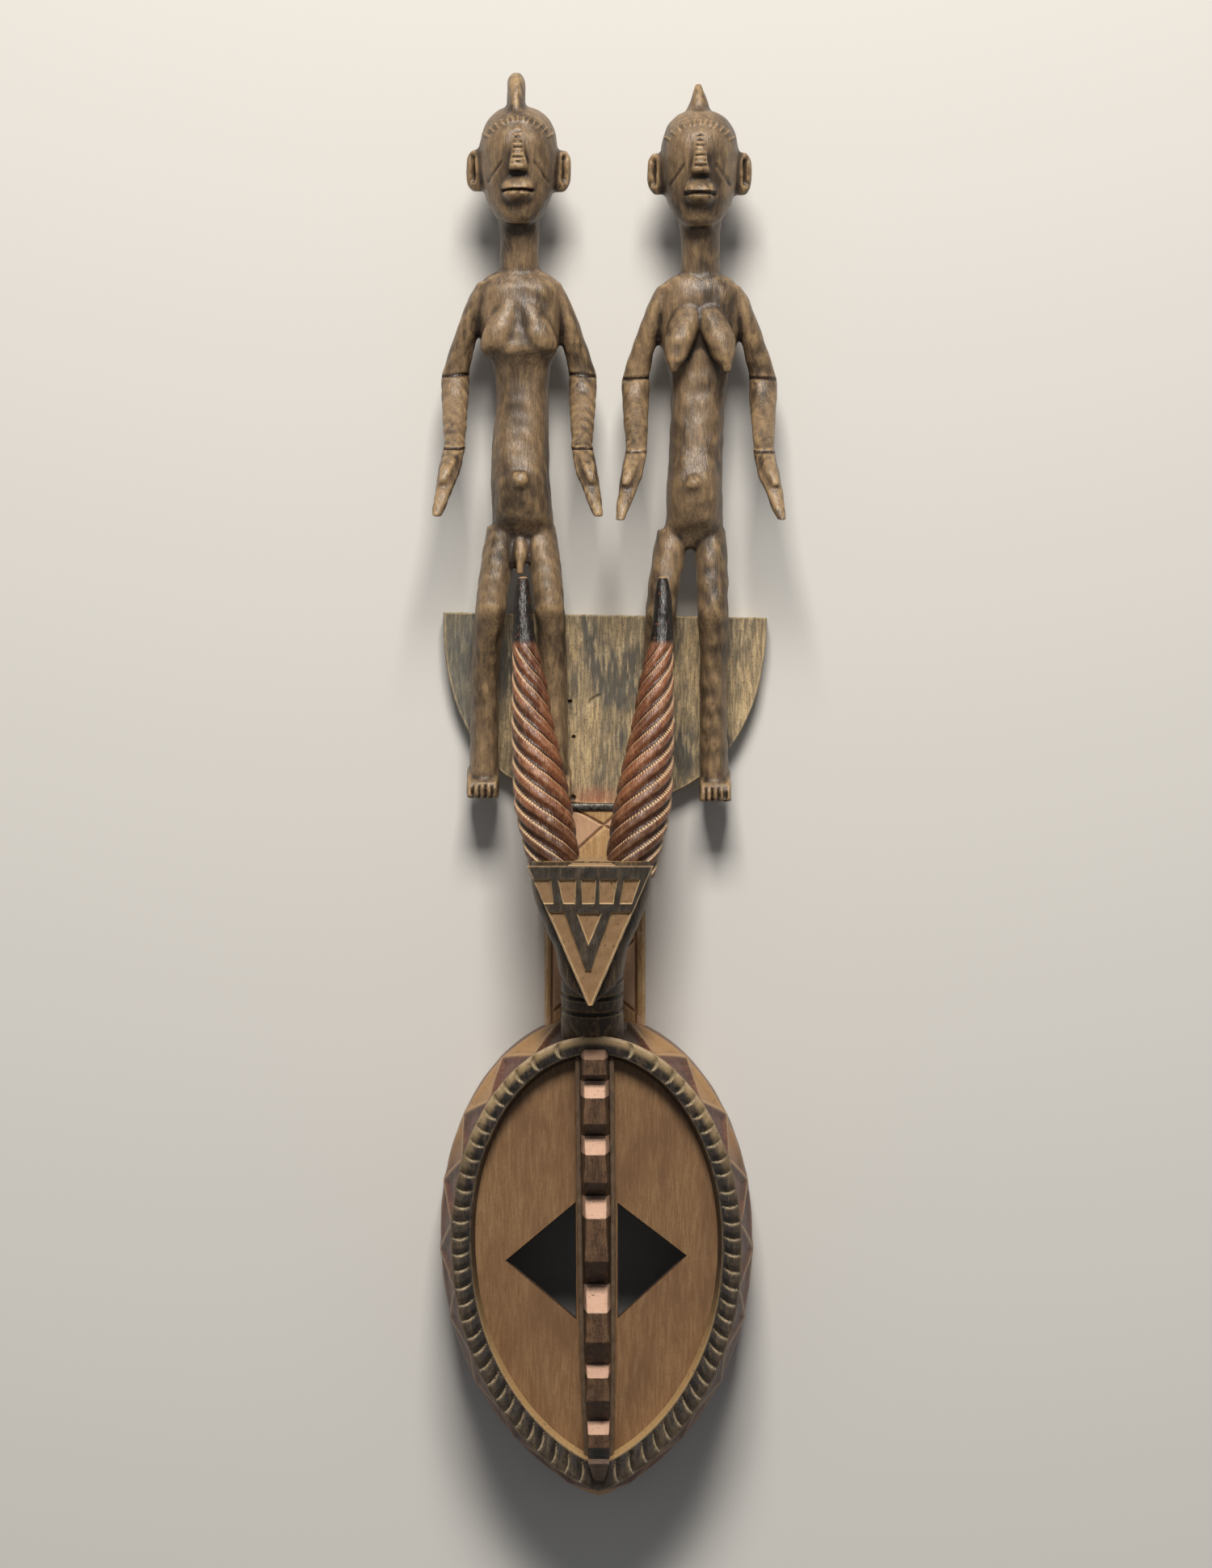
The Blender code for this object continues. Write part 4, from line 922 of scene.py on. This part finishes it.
for way in (-1, 1):
    FACE_SCORES.append(((way * 21, 782), (way * 38, 759), 3.0, 1.5, 110))
    FACE_SCORES.append(((way * 58, 764), (way * 58, 792), 5.5, 9.0, 80))


def tube(stations, feet, side=1, lean=0.0, sides=36, power=LIMB, splay=0.0):
    """A figure's form as a closed skin through its stations, on one side of its middle line."""
    up, across, out, half, deep = curve_through(stations, 6).T
    bend = lean * np.clip((LEAN_TOP - up) / LEAN_SPAN, 0, 1)
    bend = bend + splay * np.clip((SPLAY_TOP - up) / SPLAY_SPAN, 0, 1)
    angle = np.linspace(0, 2 * math.pi, sides, endpoint=False)
    cosine = np.sign(np.cos(angle)) * np.abs(np.cos(angle)) ** (2 / power)
    sine = np.sign(np.sin(angle)) * np.abs(np.sin(angle)) ** (2 / power)
    x = feet[0] + ((side * across + bend)[:, None] + half[:, None] * cosine) * GRID
    z = PLATE_Z + ((out - PLATE_OUT)[:, None] + deep[:, None] * sine) * GRID
    return loft(np.stack((x, np.broadcast_to((feet[1] + up * GRID)[:, None], x.shape), z), -1))


def foot(feet, lean, side):
    """A block foot whose five toes are parted by short grooves."""
    rings = []
    for share in np.linspace(0, 1, 81):
        across = side * FOOT_X + lean + (share * 2 - 1) * FOOT_HALF
        toe = 95 - 8 * abs(2 * ((share * TOES) % 1) - 1) ** 5
        profile = ((0, 27), (0, toe - 3), (4, toe), (15, toe - 1), (23, toe - 6), (39, 54), (30, 27))
        rings.append([(feet[0] + across * GRID, feet[1] + up * GRID, PLATE_Z + (out - PLATE_OUT) * GRID)
                      for up, out in profile])
    return loft(np.array(rings))


def figure_forms(feet, lean, splays, trunk, crest, extras):
    """The closed forms of a whole figure, which run into each other."""
    forms = [tube(trunk, feet, lean=lean, sides=64, power=2.5), tube(NECK, feet, power=2.0),
             tube(HEAD, feet, sides=64), tube(crest, feet), tube(NOSE, feet, power=3.0),
             tube(BROW, feet), tube(MOUTH, feet), tube(NAVEL, feet, lean=lean)]
    for side, splay in zip((-1, 1), splays):
        forms += [tube(EAR, feet, side), tube(LEG, feet, side, lean, splay=splay), tube(ARM, feet, side),
                  tube(HAND, feet, side, power=3.0), tube(THUMB, feet, side, power=3.0),
                  foot(feet, lean + splay, side)]
    for stations, side in extras:
        forms.append(tube(stations, feet, side, lean if side == 0 else 0))
    return forms


def merge_skin(item):
    """One even skin over forms that run into each other."""
    remesh = item.modifiers.new("skin", "REMESH")
    remesh.mode = "VOXEL"
    remesh.voxel_size = SKIN_STEP
    graph = bpy.context.evaluated_depsgraph_get()
    item.data = bpy.data.meshes.new_from_object(item.evaluated_get(graph))
    item.modifiers.clear()
    write_points(item, relaxed(item, read_points(item), 2))


def body_scores(lean, splays, left_band):
    """The cuts in a figure's face, between its toes and round its elbows and wrists."""
    scores = list(FACE_SCORES)
    for side, splay in zip((-1, 1), splays):
        for toe in range(1, TOES):
            across = side * FOOT_X + lean + splay - FOOT_HALF + toe * 2 * FOOT_HALF / TOES
            scores.append(((across, -4), (across, 17), 1.5, 3.5, 60))
    scores += [((-left_band, 524), (-58, 526), 2.6, 3.0, 60), ((58, 526), (98, 524), 2.6, 3.0, 60)]
    return scores + [((-94, 430), (-62, 430), 2.2, 2.4, 120), ((62, 430), (94, 430), 2.2, 2.4, 120)]


def score(item, feet, scores):
    """Front grooves, each a start, end, half width, depth and least height; below zero, a ridge."""
    points = read_points(item)
    normals = read_points(item, "normal")
    across = (points[:, 0] - STEP[0] - feet[0]) / GRID
    up = (points[:, 1] - STEP[1] - feet[1]) / GRID
    out = (points[:, 2] - PLATE_Z) / GRID + PLATE_OUT
    sunk = np.zeros(len(points))
    for start, end, width, depth, nearest in scores:
        near = distance_to(across, up, start, end) / width
        cut = depth * (1 - smoothstep(near)) * (normals[:, 2] > 0.05) * (out > nearest)
        sunk = np.where(np.abs(cut) > np.abs(sunk), cut, sunk)
    write_points(item, points - normals * (sunk * GRID)[:, None])


figure_wood = patina("figure_wood", rgb(128, 106, 82), rgb(58, 48, 40), rgb(186, 154, 112),
                     clouds=0.85, grain=0.3, streaks=0.22, specks=0.3, edge_wear_and_highlight=0.6, soot=1.0,
                     roughness=0.40, relief=0.3)
man_forms = figure_forms(MAN_FEET, MAN_LEAN, MAN_SPLAY, MAN_TRUNK, MAN_CREST,
                         ((LOINS, 1), (PEC, -1), (PEC, 1)))
man = new_piece("man_figure", man_forms, (figure_wood,))
merge_skin(man)
score(man, MAN_FEET, body_scores(MAN_LEAN, MAN_SPLAY, 96))
roughen(man, 0.014, 0.0009, 21)
mark_proudness(man, 0.0009, 12)
soften(man, 50)
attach(man, "root")
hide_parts("wood_carving")

# Woman: the second figure, made in the same way as the man, with a narrower waist, long breasts
# and a short pointed crest. It leans a little towards the man from the knees down.
WOMAN_FEET = (0.0755, -0.0144)
WOMAN_LEAN = -14
WOMAN_SPLAY = (0, -7)
WOMAN_TRUNK = ((654, 0, 78, 27, 28), (646, 0, 78, 42, 34), (630, 1, 77, 52, 40), (600, 1, 76, 54, 40),
               (560, 1, 74, 46, 38), (534, 2, 74, 38, 36), (495, 2, 75, 34, 38), (428, 2, 80, 34, 44),
               (388, 2, 84, 35, 52), (352, 3, 80, 36, 46), (333, 3, 75, 36, 36), (314, 3, 71, 30, 26))
WOMAN_CREST = ((840, -1, 96, 24, 30), (860, -1, 96, 14, 18), (889, -1, 96, 4, 5))
BREAST = ((618, 10, 104, 12, 10), (600, 16, 110, 17, 16), (573, 24, 118, 20, 22), (550, 29, 124, 15, 18),
          (536, 32, 128, 8, 11), (528, 33, 129, 4, 5))
woman_forms = figure_forms(WOMAN_FEET, WOMAN_LEAN, WOMAN_SPLAY, WOMAN_TRUNK, WOMAN_CREST,
                           ((BREAST, -1), (BREAST, 1)))
woman = new_piece("woman_figure", woman_forms, (figure_wood,))
merge_skin(woman)
score(woman, WOMAN_FEET, body_scores(WOMAN_LEAN, WOMAN_SPLAY, 98))
roughen(woman, 0.014, 0.0009, 23)
mark_proudness(woman, 0.0009, 12)
soften(woman, 50)
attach(woman, "root")
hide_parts("wood_carving")

# Floor and light: plain pale paper spread under the mask, one broad soft lamp beyond the figures'
# heads, and weak even light from all round.
FLOOR_REACH = 4
FLOOR_DROP = 0.0005
floor_corners = [(x * FLOOR_REACH, y * FLOOR_REACH, -FLOOR_DROP)
                 for x, y in ((-1, -1), (1, -1), (1, 1), (-1, 1))]
floor_mesh = bpy.data.meshes.new("floor")
floor_mesh.from_pydata(floor_corners, [], [(0, 1, 2, 3)])
floor_material = bpy.data.materials.new("floor_paper")
floor_material.use_nodes = True
floor_shader = floor_material.node_tree.nodes["Principled BSDF"]
floor_shader.inputs["Base Color"].default_value = rgb(214, 212, 208)
floor_shader.inputs["Roughness"].default_value = 0.9
floor_mesh.materials.append(floor_material)
floor = bpy.data.objects.new("floor", floor_mesh)
bpy.context.scene.collection.objects.link(floor)
key_data = bpy.data.lights.new("key", "AREA")
key_data.size = 1.3
key_data.energy = 185.0
key_data.color = (1.0, 0.95, 0.88)
key = bpy.data.objects.new("key", key_data)
key.location = (0.0, 2.7, 2.9)
key.rotation_euler = (math.radians(-43), 0.0, 0.0)
bpy.context.scene.collection.objects.link(key)
world = bpy.data.worlds.new("studio")
world.use_nodes = True
fill = world.node_tree.nodes["Background"]
fill.inputs["Color"].default_value = (0.95, 0.97, 1.0, 1.0)
fill.inputs["Strength"].default_value = 0.16
bpy.context.scene.world = world
bpy.context.scene.view_settings.view_transform = "Standard"

# Camera: straight above the middle of the picture with a long lens, which looks down on the lying
# mask as the photograph looks at the upright one.
CAMERA_HEIGHT = 5.0
camera_data = bpy.data.cameras.new("camera")
camera_data.lens = 140.4
camera_data.sensor_width = 36.0
camera = bpy.data.objects.new("camera", camera_data)
camera.location = (STEP[0], STEP[1], CAMERA_HEIGHT)
bpy.context.scene.collection.objects.link(camera)
bpy.context.scene.camera = camera
